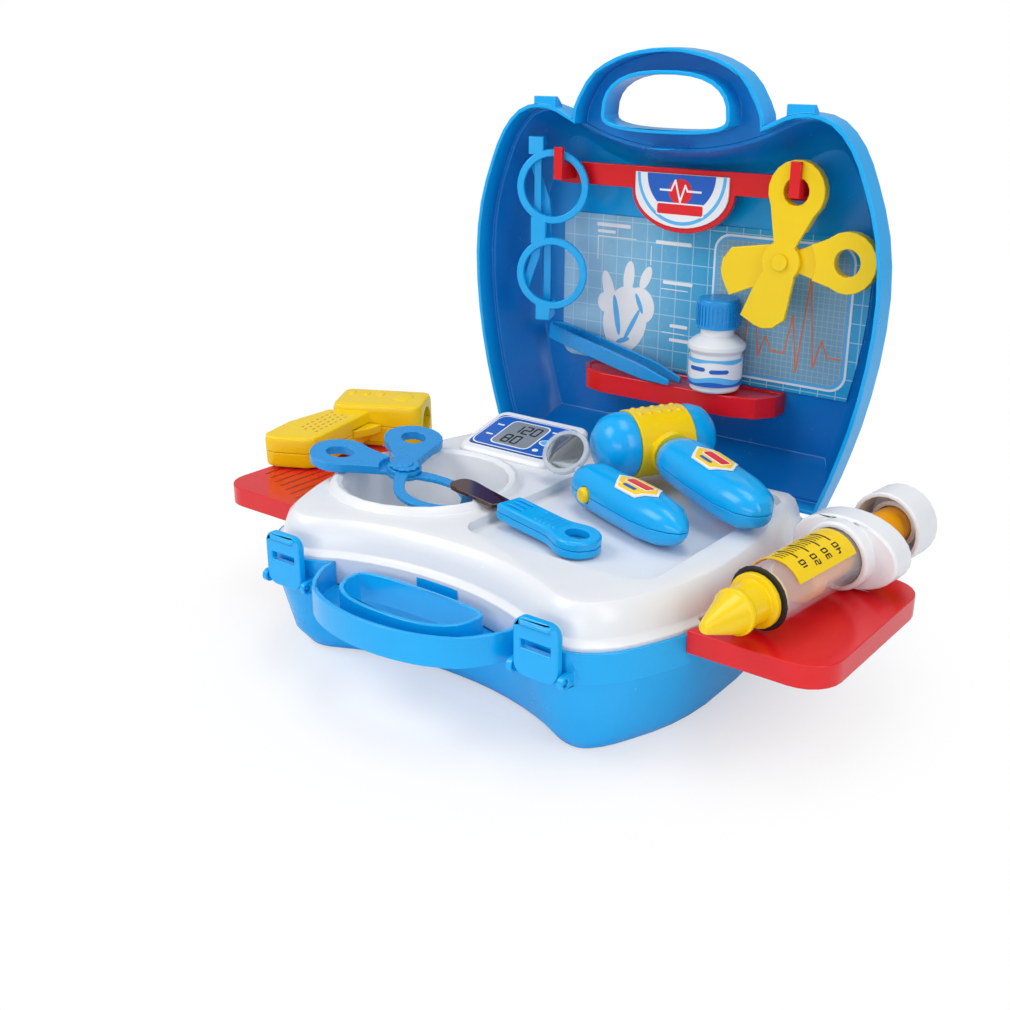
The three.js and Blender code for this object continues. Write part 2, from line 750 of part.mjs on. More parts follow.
// Stop strip on the back wall: a leg with two snap tabs, a ledge for the lid, and ribs between them
const strip_front_y = hinge_edge_y + fit_gap;
const strip_top_z = lid_foot_z - fit_gap;
function stopStrip() {
  const step_y = hinge_y + hinge_offset / 2;
  const profile = [
    [strip_front_y, strip_low_z],
    [strip_front_y + strip_thickness, strip_low_z],
    [strip_front_y + strip_thickness, strip_leg_top_z - strip_thickness],
    [hinge_edge_y + strip_reach, strip_top_z - strip_thickness],
    [hinge_edge_y + strip_reach, strip_top_z],
    [step_y, strip_top_z],
    [step_y, strip_leg_top_z],
    [strip_front_y, strip_leg_top_z],
  ];
  const rib = [
    [strip_front_y + strip_thickness / 2, strip_low_z + strip_thickness],
    [hinge_edge_y + strip_reach - strip_thickness, strip_top_z - strip_thickness / 2],
    [strip_front_y + strip_thickness / 2, strip_top_z - strip_thickness],
  ];
  const ribs = [-strip_rib_x, 0, strip_rib_x].map((x) =>
    plateX(rib, x - strip_rib_width / 2, x + strip_rib_width / 2));
  const half = tab_width / 2;
  const tab_end_y = hinge_edge_y - wall;
  const tab = block(
    [tab_x - half, tab_end_y, tab_low_z],
    [tab_x + half, strip_front_y + strip_thickness / 2, tab_low_z + tab_height],
  );
  const strip = joined([plateX(profile, -strip_half_width, strip_half_width), ...ribs, mirrored(tab)]);
  return piece("hinge_strip", strip, "tool_blue");
}

// A latch: a rounded plate with side pins at its foot and a slot for the catch
function latch(name, x) {
  const low = latch_low_z;
  const high = latch_low_z + latch_height;
  const half = latch_width / 2;
  const corner = half / 2;
  const face = roundRect(x - half, low, x + half, high, corner);
  const front_y = latch_back_y - latch_thickness;
  const slot_half = latch_slot_width / 2;
  const slot = block(
    [x - slot_half, front_y - overrun, latch_slot_z],
    [x + slot_half, latch_back_y + overrun, latch_slot_z + latch_slot_height],
  );
  const pin = shifted(oval(latch_pin_radius, latch_pin_radius, 2, 16), latch_axis_y, latch_pin_z);
  const reach = half + latch_pin_reach;
  const grip = block(
    [x - slot_half, front_y - latch_thickness / 4, high - latch_thickness],
    [x + slot_half, latch_back_y, high - latch_thickness / 2],
  );
  const body = plateY(face, front_y, latch_back_y).subtract(slot);
  return piece(name, joined([body, plateX(pin, x - reach, x + reach), grip]), "case_blue");
}

// Tray: a thin cover on the base's inner ledge. Each dome level is [inset share, height share, lean].
const tray_flange_z = base_depth + tray_flange_rise;
const dome_shares = [
  [0, 0.085, 0.15], [0.125, 0.451, 0.25], [0.29, 0.756, 0.6], [0.583, 0.951, 0.92], [1, 1, 1],
];
const dome_levels = dome_shares.map(([across, up, lean]) => [
  tray_flange_inset + across * tray_dome_inset,
  tray_flange_z + up * (tray_top_z - tray_flange_z),
  lean,
]);
const tray_outer_levels = [
  [tray_skirt_inset, ledge_z + fit_gap],
  [tray_skirt_inset, tray_flange_z - tray_skin / 2],
  [tray_skirt_inset + tray_skin, tray_flange_z],
  ...dome_levels.map(([across, z]) => [across, z]),
];
const tray_inner_levels = [
  [tray_skirt_inset + tray_skin, ledge_z - overrun],
  [tray_skirt_inset + tray_skin, tray_flange_z - tray_skin * 1.3],
  ...dome_levels.map(([across, z, lean]) => [
    across + tray_skin * Math.sqrt(1 - lean * lean) + fit_gap,
    z - tray_skin * lean,
  ]),
];

// The bowl, as a turned wall with a rolled rim
function bowlWall() {
  const rim = bowl_rim_radius;
  const depth = bowl_rim_z - bowl_floor_z;
  const slope = rim - bowl_floor_radius;
  const under_z = tray_top_z - tray_skin * 0.8;
  return turned([
    [0, bowl_floor_z - bowl_skin],
    [bowl_floor_radius + slope * 0.06, bowl_floor_z - bowl_skin],
    [bowl_floor_radius + slope * 0.45, bowl_floor_z + depth * 0.05],
    [bowl_floor_radius + slope * 0.7, bowl_floor_z + depth * 0.46],
    [rim - bowl_skin * 1.4, under_z],
    [rim + bowl_skin, under_z],
    [rim + bowl_skin * 1.3, tray_top_z],
    [rim, bowl_rim_z - bowl_skin * 0.3],
    [rim - bowl_skin, bowl_rim_z],
    [rim - bowl_skin * 2.5, bowl_rim_z - bowl_skin * 0.8],
    [bowl_floor_radius + slope * 0.6, bowl_floor_z + depth * 0.47],
    [bowl_floor_radius + slope * 0.32, bowl_floor_z + depth * 0.09],
    [bowl_floor_radius, bowl_floor_z],
    [0, bowl_floor_z],
  ], 24).translate([bowl_x, bowl_y, 0]);
}

// The shallow recess that the tools lie in: an open pan below the tray's skin
const recess_margin = 15;
function recessPrism(grow, low, high) {
  const area = roundRect(
    recess_left - grow,
    recess_front - grow,
    recess_right + grow,
    recess_back + grow,
    recess_corner + grow,
  );
  const limit = inset(inBase(case_outline), recess_margin - grow);
  return plate(area, low, high).intersect(plate(limit, low, high));
}

// The raised screen block, its sloping face and the pocket for its plate
const monitor_tilt_deg = THREE.MathUtils.radToDeg(
  Math.atan2(monitor_back_rise - monitor_front_rise, monitor_length),
);
const monitor_middle_z = tray_top_z + (monitor_front_rise + monitor_back_rise) / 2;
function monitorBlock(grow, low, drop) {
  const half_width = monitor_width / 2 + grow;
  const half_length = monitor_length / 2 + grow;
  const outline = roundRect(-half_width, -half_length, half_width, half_length, monitor_corner);
  const rise = (monitor_back_rise - monitor_front_rise) / monitor_length;
  const top = inset(outline, monitor_corner / 4);
  return loft([
    outline.map(([x, y]) => [x, y, low]),
    outline.map(([x, y]) => [x, y, monitor_middle_z + y * rise - monitor_corner / 4 - drop]),
    top.map(([x, y]) => [x, y, monitor_middle_z + y * rise - drop]),
  ]).translate([monitor_x, monitor_y, 0]);
}

function monitorPlate(grow, low, high) {
  const half_width = monitor_face_width / 2 + grow;
  const half_length = monitor_face_length / 2 + grow;
  const face = roundRect(-half_width, -half_length, half_width, half_length, monitor_corner / 2);
  return plate(face, low, high);
}

const inMonitor = (solid) =>
  solid.rotate([monitor_tilt_deg, 0, 0]).translate([monitor_x, monitor_y, monitor_middle_z]);

function trayShell() {
  const outline = inBase(case_outline);
  const skin = loftLevels(outline, tray_outer_levels).subtract(loftLevels(outline, tray_inner_levels));
  const bowl_hole = rod(bowl_rim_radius, bowl_floor_z, tray_top_z + overrun, 28);
  const pan = recessPrism(recess_skin, recess_floor_z - recess_skin, tray_top_z - tray_skin * 0.7);
  const pocket = inMonitor(monitorPlate(fit_gap, -monitor_face_thickness, monitor_corner));
  const shell = skin
    .add(monitorBlock(0, tray_top_z - tray_skin / 2, 0))
    .subtract(monitorBlock(-tray_skin, tray_top_z - tray_skin - overrun, tray_skin * 2))
    .subtract(bowl_hole.translate([bowl_x, bowl_y, 0]))
    .add(bowlWall())
    .add(pan)
    .subtract(recessPrism(0, recess_floor_z, tray_top_z + overrun));
  return shell.subtract(pocket).subtract(shelfNotches());
}

// Side shelves: a moulded tray that hooks over the side wall of the base
const shelf_middle_y = -16;
const shelf_leg_inset = wall + fit_gap;
const shelf_leg_thickness = 2.2;
const sideRing = (outer_inset, inner_inset, low, high) =>
  plate(inset(inBase(case_outline), outer_inset), low, high)
    .subtract(plate(inset(inBase(case_outline), inner_inset), low - overrun, high + overrun));

function sideBand(half_length, low, high) {
  return block([0, shelf_middle_y - half_length, low], [shelf_outer_x, shelf_middle_y + half_length, high]);
}

const shelf_bridge_z = base_depth + fit_gap;
const shelf_hook_inset = shelf_leg_inset + shelf_leg_thickness;

function shelfNotches() {
  const half = shelf_hook_length / 2 + fit_gap * 2;
  const ring = sideRing(-overrun, shelf_hook_inset + fit_gap * 2, ledge_z - overrun, tray_top_z);
  return mirrored(ring.intersect(sideBand(half, ledge_z - overrun, tray_flange_z + overrun)));
}

function shelf(name, side) {
  const low = shelf_top_z - shelf_thickness;
  const outline = (grow) =>
    roundRect(
      shelf_inner_x - case_half_width / 4,
      shelf_front_y + grow,
      shelf_outer_x - grow,
      shelf_back_y - grow,
      shelf_corner - grow,
    );
  const outside = (grow) => plate(inset(inBase(case_outline), -grow), low - overrun, shelf_top_z + overrun);
  const body = plate(outline(0), low, shelf_top_z).subtract(outside(shelf_rim_gap));
  const hollow = plate(outline(shelf_skin), low - overrun, shelf_top_z - shelf_skin);
  const clear = sideRing(-shelf_rim_gap - shelf_skin, shelf_hook_inset, low - overrun, shelf_top_z);
  const half = shelf_hook_length / 2;
  const leg_low = base_depth - shelf_hook_drop;
  const leg = sideRing(shelf_leg_inset, shelf_hook_inset, leg_low, shelf_top_z);
  const bridge = sideRing(-shelf_rim_gap - shelf_skin, shelf_hook_inset, shelf_bridge_z, shelf_top_z);
  const hook = leg.add(bridge).intersect(sideBand(half, leg_low - overrun, shelf_top_z + overrun));
  const whole = body.subtract(hollow.subtract(outside(shelf_rim_gap + shelf_skin).add(clear))).add(hook);
  return piece(name, side < 0 ? whole.mirror([1, 0, 0]) : whole, "red");
}

// Lid shell, worked out flat like the base and then stood up
const lid_outer_levels = [
  [foot_inset, 0],
  [lid_knee_inset, lid_knee_height],
  [band_step, lid_depth - band_depth],
  [0, lid_depth - band_depth],
  [0, lid_depth],
];
const lid_ledge = lid_depth - ledge_drop;
const lid_inner_levels = [
  [foot_inset + wall - fit_gap, wall],
  [lid_knee_inset + wall, lid_knee_height + fit_gap],
  [band_step + wall, lid_ledge],
  [wall, lid_ledge],
  [wall, lid_depth + overrun],
];

// Snap hooks of the lid that turn on the base's hinge bars
function lidHooks() {
  const disc = shifted(oval(hinge_lug_radius, hinge_lug_radius, 2, 16), -hinge_offset, lid_depth);
  const bore = shifted(oval(hinge_bore_radius, hinge_bore_radius, 2, 16), -hinge_offset, lid_depth);
  const web = [
    [wall / 2, lid_depth],
    [wall / 2, lid_depth - hinge_lug_radius * 3],
    [-hinge_offset - hinge_lug_radius, lid_depth],
  ];
  const far = hinge_lug_radius * 2;
  const mouth = [
    [-hinge_offset, lid_depth - hinge_slot / 2],
    [-hinge_offset, lid_depth + hinge_slot / 2],
    [-hinge_offset - far, lid_depth + far + hinge_slot],
    [-hinge_offset - far, lid_depth + far - hinge_slot],
  ];
  const hook = plateX(disc, hook_from, hook_to).add(plateX(web, hook_from, hook_to));
  const cut = plateX(bore, hook_from - overrun, hook_to + overrun)
    .add(plateX(mouth, hook_from - overrun, hook_to + overrun));
  return mirrored(hook.subtract(cut));
}

// Catches on the lid's rim, whose noses pass through the latches
function lidCatches() {
  const half = catch_width / 2;
  const root = Math.min(reachAt(latch_x - half), reachAt(latch_x + half)) - wall / 2;
  const foot = lid_depth - catch_depth;
  const profile = [
    [root, foot],
    [case_length + catch_nose / 3, foot + catch_nose],
    [case_length + catch_reach, lid_depth - fit_gap - catch_nose],
    [case_length + catch_reach, lid_depth - fit_gap],
    [root, lid_depth - fit_gap],
  ];
  return mirrored(plateX(profile, latch_x - half, latch_x + half));
}

function lidShell() {
  const shell = caseShell(inLid, lid_depth, lid_outer_levels, lid_inner_levels);
  const notch = shifted(oval(hinge_notch_radius, hinge_notch_radius, 2, 16), -hinge_offset, lid_depth);
  const notchAt = (x) => plateX(notch, x - hinge_side_gap, x + hinge_lug_width + hinge_side_gap);
  const notches = mirrored(notchAt(hinge_inner_x).add(notchAt(hinge_outer_x - hinge_lug_width)));
  return joined([shell.subtract(notches), lidHooks(), lidCatches()]);
}

// Hook bar across the lid, with the badge below its middle and a hook near each end
const lid_floor = wall + fit_gap;
const bar_front = lid_depth - bar_depth;
const bar_back = bar_front - bar_thickness;
const bar_leg_x = 58;
const bar_leg_width = 8;
function badgeOutline(shrink) {
  const drop = badge_drop - shrink;
  const half = badge_half_width - shrink;
  const curve = Array.from({ length: 21 }, (_, i) => {
    const angle = Math.PI + (i / 20) * Math.PI;
    return [half * Math.cos(angle), bar_low + drop * Math.sin(angle)];
  });
  return [[half, bar_low + bar_height - shrink], [-half, bar_low + bar_height - shrink], ...curve];
}

function hookBar() {
  const high = bar_low + bar_height;
  const strip = roundRect(-bar_half_width, bar_low, bar_half_width, high, bar_thickness, 3);
  const legs = mirrored(
    block(
      [bar_leg_x, bar_low + bar_thickness, lid_floor],
      [bar_leg_x + bar_leg_width, high - bar_thickness, bar_back + overrun],
    ),
  );
  const arm = [
    [bar_arm_low, bar_front - overrun],
    [bar_arm_low, bar_front + bar_hook_reach],
    [bar_tip_high, bar_front + bar_hook_reach],
    [bar_tip_high, bar_front + bar_hook_reach - bar_hook_thickness],
    [bar_arm_high, bar_front + bar_hook_reach - bar_hook_thickness],
    [bar_arm_high, bar_front - overrun],
  ];
  const half = bar_hook_width / 2;
  const arms = mirrored(plateX(arm, bar_hook_x - half, bar_hook_x + half));
  const badge = plate(badgeOutline(0), bar_back, bar_front);
  return piece("hook_bar", joined([plate(strip, bar_back, bar_front), badge, legs, arms]), "red");
}

function badgePlate() {
  const front = bar_front + fit_gap;
  const solid = plate(badgeOutline(badge_inset), front, front + badge_plate_thickness);
  return piece("badge_plate", solid, "white");
}

// Picture panel on the lid's inner floor
function lidPanel() {
  const low = lid_floor;
  const high = lid_floor + panel_thickness;
  const area = plate(roundRect(panel_left, panel_low, panel_right, panel_high, panel_corner), low, high);
  const limit = plate(inset(case_outline, foot_inset + wall + panel_thickness), low, high);
  return piece("lid_panel", area.intersect(limit), "pale_blue");
}

// Small shelf in the lid: a shallow trough, hollow below, outlined in X and depth.
// The shares place its corners, and the trough's floor in skin thicknesses.
const shelf_corner_shares = [[1, 0.45], [0.88, 0.82], [0.66, 1]];
const shelf_trough_share = 0.4;
const shelf_under_share = 1.6;
function lidShelf() {
  const span = lid_depth - lid_shelf_front - lid_floor;
  const high = lid_shelf_low + lid_shelf_height;
  const outline = (shrink) => {
    const half = lid_shelf_half_width - shrink;
    const corners = shelf_corner_shares.map(([x, y]) => [half * x, lid_floor + span * y - shrink]);
    const side = [[half, lid_floor + shrink], ...corners];
    return [...side, ...scaled([...side].reverse(), -1, 1)];
  };
  const trough = plateY(outline(lid_shelf_skin), high - lid_shelf_skin * shelf_trough_share, high + overrun);
  const under = plateY(outline(lid_shelf_skin), lid_shelf_low - overrun, high - lid_shelf_skin * shelf_under_share);
  const body = plateY(outline(0), lid_shelf_low, high);
  return piece("lid_shelf", body.subtract(trough).subtract(under), "red");
}

// An outline turned about the origin.
function spun(points, angle_deg) {
  const angle = THREE.MathUtils.degToRad(angle_deg);
  const [c, s] = [Math.cos(angle), Math.sin(angle)];
  return points.map(([x, y]) => [x * c - y * s, x * s + y * c]);
}

// A half outline of [along, half width] closed by its mirror image.
const bothSides = (half, count) => {
  const upper = smooth(half, count);
  return [...upper, ...scaled(upper.slice(0, -1).reverse(), 1, -1)];
};

// A solid turned about X or Y, from a profile of [radius, distance along].
const turnedX = (profile, segments) => turned(profile, segments).transform(axes_to_x);
const turnedY = (profile, segments) => turned(profile, segments).transform(axes_to_y);

// A solid along X through oval sections of [x, half width, half height], each grown by a distance.
const sectioned = (sections, grow, power, count) =>
  loft(sections.map(([x, half_width, half_height]) =>
    oval(half_width + grow, half_height + grow, power, count).map(([y, z]) => [x, y, z])));

// The part of a solid above and below a plane's gap.
const aboveSplit = (solid) => solid.trimByPlane([0, 0, 1], fit_gap / 2);
const belowSplit = (solid) => solid.trimByPlane([0, 0, -1], fit_gap / 2);

// A coil spring along X, from zero to its length.
const coil_steps = 8;
const coil_sides = 5;
function coil(radius, length, turns, wire) {
  const steps = coil_steps * turns;
  const rings = Array.from({ length: steps + 1 }, (_, i) => {
    const angle = (i / coil_steps) * 2 * Math.PI;
    const x = wire + (i / steps) * (length - wire - wire);
    return Array.from({ length: coil_sides }, (_, j) => {
      const turn = (j / coil_sides) * 2 * Math.PI;
      const reach = radius - wire + wire * Math.cos(turn);
      return [x + wire * Math.sin(turn), reach * Math.cos(angle), reach * Math.sin(angle)];
    });
  });
  return loft(rings);
}

// A finger ring on a neck along X.
function fingerRing(reach, radius, hole_width, hole_height, neck, low, high) {
  const ring = plate(shifted(oval(radius, radius, 2, 20), reach, 0), low, high);
  const root = plate([[0, -neck], [reach, -radius], [reach, radius], [0, neck]], low, high);
  const hole = shifted(oval(hole_width, hole_height, 2, 16), reach, 0);
  return ring.add(root).subtract(plate(hole, low - overrun, high + overrun));
}

// A rivet through two half thicknesses, with a wheel of teeth below its front head when asked.
const wheel_points = 24;
const wheel_root_share = 0.88;
function rivet(name, half, wheel_radius, finish) {
  const face = half + fit_gap;
  const head = face + rivet_head_thickness;
  const solids = [
    rod(rivet_pin_radius, -face - overrun / 2, face + overrun / 2, 16),
    rod(rivet_head_radius - overrun, -head, -face, 16),
  ];
  if (wheel_radius) {
    const teeth = Array.from({ length: wheel_points }, (_, i) => {
      const angle = (i / wheel_points) * 2 * Math.PI;
      const reach = wheel_radius * (i % 2 ? 1 : wheel_root_share);
      return [reach * Math.cos(angle), reach * Math.sin(angle)];
    });
    solids.push(plate(teeth, face, head));
  }
  const cap_low = wheel_radius ? head - overrun / 2 : face;
  solids.push(rod(rivet_head_radius, cap_low, cap_low + rivet_head_thickness, 20));
  return piece(name, joined(solids), finish);
}

// One half of a hinged tool: its ring is full thickness, its hub and blade fill one layer.
function leverHalf(ring, turn_deg, half, hub_radius, clear_radius, blade, layer) {
  const hub = rod(hub_radius, ...layer, 28);
  const clear = rod(clear_radius, -half - overrun, half + overrun, 28);
  const neck = ring(...layer).rotate([0, 0, turn_deg]);
  const full = ring(-half, half).rotate([0, 0, turn_deg]).subtract(clear);
  const bore = rod(rivet_pin_radius + fit_gap, -half - overrun, half + overrun, 16);
  return joined([hub, neck, full, plate(blade, ...layer)]).subtract(bore);
}

// Scissors, in the lid's own frame: the front half hangs on the hook by its ring
const scissors_z = lid_depth - scissors_depth;
const scissors_ring_rise = scissors_ring_reach * Math.sin(THREE.MathUtils.degToRad(scissors_front_ring_deg));
const scissors_hole_rise = Math.sqrt(scissors_hole_radius ** 2 - (bar_hook_width / 2) ** 2);
const scissors_pivot_y = bar_arm_high + fit_gap - scissors_hole_rise - scissors_ring_rise;

function scissors() {
  const half = scissors_half_thickness;
  const ring = (low, high) =>
    fingerRing(
      scissors_ring_reach,
      scissors_ring_radius,
      scissors_hole_radius,
      scissors_hole_radius,
      scissors_neck,
      low,
      high,
    );
  const front_blade = spun(scaled(scissors_blade, 1, -1), scissors_front_blade_deg);
  const back_blade = spun(scissors_blade, scissors_back_blade_deg);
  const front_layer = [fit_gap / 2, half];
  const back_layer = [-half, -fit_gap / 2];
  const [hub, clear] = [scissors_hub_radius, scissors_clear_radius];
  const front = leverHalf(ring, scissors_front_ring_deg, half, hub, clear, front_blade, front_layer);
  const back = leverHalf(ring, scissors_back_ring_deg, half, hub, clear, back_blade, back_layer);
  return groupAt([scissors_pivot_x, scissors_pivot_y, scissors_z], [0, 0, 0], [
    piece("scissors_front_half", front, "yellow"),
    piece("scissors_back_half", back, "yellow"),
    rivet("scissors_rivet", half, 0, "yellow"),
  ]);
}

// Forceps: two ringed halves whose legs bow out and meet at their tips
function forceps() {
  const half = forceps_half_thickness;
  const ring = (low, high) =>
    fingerRing(
      forceps_ring_reach,
      forceps_ring_radius,
      forceps_hole_width,
      forceps_hole_height,
      forceps_neck,
      low,
      high,
    );
  const leg = [...smooth(forceps_leg_outer, 12), ...smooth(forceps_leg_inner, 12)];
  const front_layer = [fit_gap / 2, half];
  const back_layer = [-half, -fit_gap / 2];
  const front_leg = scaled(leg, 1, -1);
  const [hub, clear] = [forceps_hub_radius, forceps_clear_radius];
  const front = leverHalf(ring, forceps_front_ring_deg, half, hub, clear, front_leg, front_layer);
  const back = leverHalf(ring, forceps_back_ring_deg, half, hub, clear, leg, back_layer);
  return groupAt(forceps_place, forceps_turn_deg, [
    piece("forceps_front_half", front, "tool_blue"),
    piece("forceps_back_half", back, "tool_blue"),
    rivet("forceps_rivet", half, forceps_wheel_radius, "tool_blue"),
  ]);
}

// Scalpel: a blade whose tang is held between two handle halves
function scalpel() {
  const outline = bothSides(scalpel_half_outline, 16).slice(0, -1);
  const thick = scalpel_half_thickness;
  const hole = shifted(oval(scalpel_hole_length, scalpel_hole_width, 2, 16), scalpel_ring_x, 0);
  const tang_half = blade_tang_half_width;
  const tang_gap = blade_half_thickness + fit_gap;
  const pocket = block(
    [-overrun, -tang_half - fit_gap, -tang_gap],
    [blade_tang + fit_gap, tang_half + fit_gap, tang_gap],
  );
  const levels = [[0, fit_gap / 2], [0, thick - overrun], [overrun, thick]];
  const shape = loftLevels(outline, levels)
    .subtract(plate(hole, -overrun, thick + overrun))
    .subtract(pocket);
  const slots = [-1, 0, 1].map((i) =>
    block(
      [scalpel_slot_low, i * scalpel_slot_pitch - scalpel_slot_width / 2, tang_gap + overrun],
      [scalpel_slot_high, i * scalpel_slot_pitch + scalpel_slot_width / 2, thick + overrun],
    ));
  const ribs = [0, 1, 2, 3, 4].map((i) => {
    const x = scalpel_rib_low + i * scalpel_rib_pitch;
    const rib = roundRect(x, -tang_half, x + scalpel_slot_width, tang_half, scalpel_slot_width / 3, 2);
    return plate(rib, thick - overrun, thick + scalpel_rib_height);
  });
  const top = joined([shape, ...ribs]).subtract(joined(slots));
  const blade = plate(bothSides(blade_half_outline, 14).slice(0, -1), -blade_half_thickness, blade_half_thickness);
  const tang = block(
    [-overrun, -tang_half, -blade_half_thickness],
    [blade_tang, tang_half, blade_half_thickness],
  );
  return groupAt(scalpel_place, scalpel_turn_deg, [
    piece("scalpel_handle_top", top, "case_blue"),
    piece("scalpel_handle_bottom", shape.mirror([0, 0, 1]), "case_blue"),
    piece("scalpel_blade", blade.trimByPlane([-1, 0, 0], 0).add(tang), "brown"),
  ]);
}

// A sticker that follows the top of a sectioned handle, just above its skin.
function patch(name, sections, x, finish) {
  const outer = sectioned(sections, patch_lift + patch_thickness, handle_power, handle_points);
  const inner = sectioned(sections, patch_lift, handle_power, handle_points);
  const [long, wide] = [patch_half_length, patch_half_width];
  const shape = [
    [x - long, 0], [x - long / 2, -wide], [x + long / 2, -wide], [x + long, 0], [x + long / 2, wide],
    [x - long / 2, wide],
  ];
  const top = sections[0][2] + sections[3][2] + overrun;
  return piece(name, outer.subtract(inner).intersect(plate(shape, 0, top)), finish);
}

// Hammer: a tube head with a dome cap at each end, and a handle in two halves
function hammer() {
  const half = hammer_half_length;
  const tube = turnedY([
    [hammer_bore, -half], [hammer_radius, -half], [hammer_radius, half], [hammer_bore, half],
    [hammer_bore, -half],
  ], 24);
  const collar = turnedX([[0, hammer_collar_low], [hammer_collar_radius, hammer_collar_low],
    [hammer_collar_radius, hammer_collar_high], [0, hammer_collar_high]], 24);
  const bore = turnedX([[0, 0], [hammer_collar_bore, 0], [hammer_collar_bore, hammer_collar_high + overrun],
    [0, hammer_collar_high + overrun]], 24);
  const cap = turnedY(hammer_cap_profile, 24).translate([0, half, 0]);
  const tongue_radius = hammer_collar_bore - fit_gap;
  const tongue = turnedX([[0, hammer_tongue_low], [tongue_radius, hammer_tongue_low],
    [tongue_radius, hammer_sections[1][0]], [0, hammer_sections[1][0]]], 20);
  const solid = sectioned(hammer_sections, 0, handle_power, handle_points).add(tongue);
  const handle = solid.subtract(sectioned(hammer_hollow, 0, handle_power, handle_points));
  return groupAt(hammer_place, hammer_turn_deg, [
    piece("hammer_sleeve", tube.add(collar).subtract(bore), "yellow"),
    piece("hammer_cap_left", cap, "case_blue"),
    piece("hammer_cap_right", cap.mirror([0, 1, 0]), "case_blue"),
    piece("hammer_handle_top", aboveSplit(handle), "case_blue"),
    piece("hammer_handle_bottom", belowSplit(handle), "case_blue"),
    patch("hammer_label", hammer_sections, hammer_patch_x, "label"),
  ]);
}

// Mirror: a round lens on a stem, held between two handle halves with a side button
function mirrorTool() {
  const stem_turn = mirror_stem_turn_deg;
  const bore_radius = stem_radius + fit_gap;
  const bore = turnedX([[0, -stem_foot - fit_gap], [bore_radius, -stem_foot - fit_gap],
    [bore_radius, mirror_ring_x], [0, mirror_ring_x]], 16).rotate(stem_turn);
  const button_hole = turnedY([[0, -button_front - overrun], [button_radius + fit_gap, -button_front - overrun],
    [button_radius + fit_gap, -button_back + overrun], [0, -button_back + overrun]], 20)
    .translate([button_x, 0, 0]);
  const stop = block(
    [button_x - button_radius, button_stop_y, overrun / 2 - mirror_sections[2][2]],
    [button_x + button_radius, button_stop_y + handle_skin, button_spring_radius],
  ).intersect(sectioned(mirror_sections, -fit_gap, handle_power, handle_points));
  const solid = sectioned(mirror_sections, 0, handle_power, handle_points);
  const handle = solid
    .subtract(sectioned(mirror_hollow, 0, handle_power, handle_points))
    .subtract(bore)
    .subtract(button_hole);
  const button = turnedY([[0, -button_front], [button_radius - overrun, -button_front],
    [button_radius, -button_front + overrun], [button_radius, -button_back],
    [button_flange_radius, -button_back], [button_flange_radius, -button_back + button_flange_thickness],
    [0, -button_back + button_flange_thickness]], 20).translate([button_x, 0, 0]);
  const spring = coil(button_spring_radius, button_spring_length, button_spring_turns, spring_wire)
    .rotate([0, 0, -upright_deg])
    .translate([button_x, button_stop_y - fit_gap, 0]);
  const ring_high = mirror_ring_half_height;
  const groove_high = mirror_lens_half_height + fit_gap;
  const lens_radius = mirror_ring_bore + overrun / 2;
  const ring = turned([[mirror_ring_bore, -ring_high], [mirror_ring_radius - overrun / 2, -ring_high],
    [mirror_ring_radius, 0], [mirror_ring_radius - overrun / 2, ring_high], [mirror_ring_bore, ring_high],
    [mirror_ring_bore, groove_high], [lens_radius + fit_gap, groove_high],
    [lens_radius + fit_gap, -groove_high], [mirror_ring_bore, -groove_high],
    [mirror_ring_bore, -ring_high]], 24).translate([mirror_ring_x, 0, 0]);
  const stem_end = mirror_ring_x - mirror_ring_radius + overrun / 2;
  const stem = turnedX([[0, -stem_foot], [stem_radius, -stem_foot], [stem_radius, stem_end - stem_radius],
    [mirror_ring_half_height, stem_end], [0, stem_end]], 16);
  const lens = rod(lens_radius, -mirror_lens_half_height, mirror_lens_half_height, 28)
    .translate([mirror_ring_x, 0, 0]);
  return groupAt(mirror_place, mirror_turn_deg, [
    piece("mirror_handle_top", aboveSplit(handle), "case_blue"),
    piece("mirror_handle_bottom", belowSplit(handle).add(belowSplit(stop)), "case_blue"),
    piece("mirror_button", button, "yellow"),
    piece("button_spring", spring, "steel"),
    patch("mirror_label", mirror_sections, mirror_patch_x, "label"),
    groupAt([0, 0, 0], stem_turn, [
      piece("mirror_stem", ring.add(stem), "clear"),
      piece("mirror_lens", lens, "clear"),
    ]),
  ]);
}

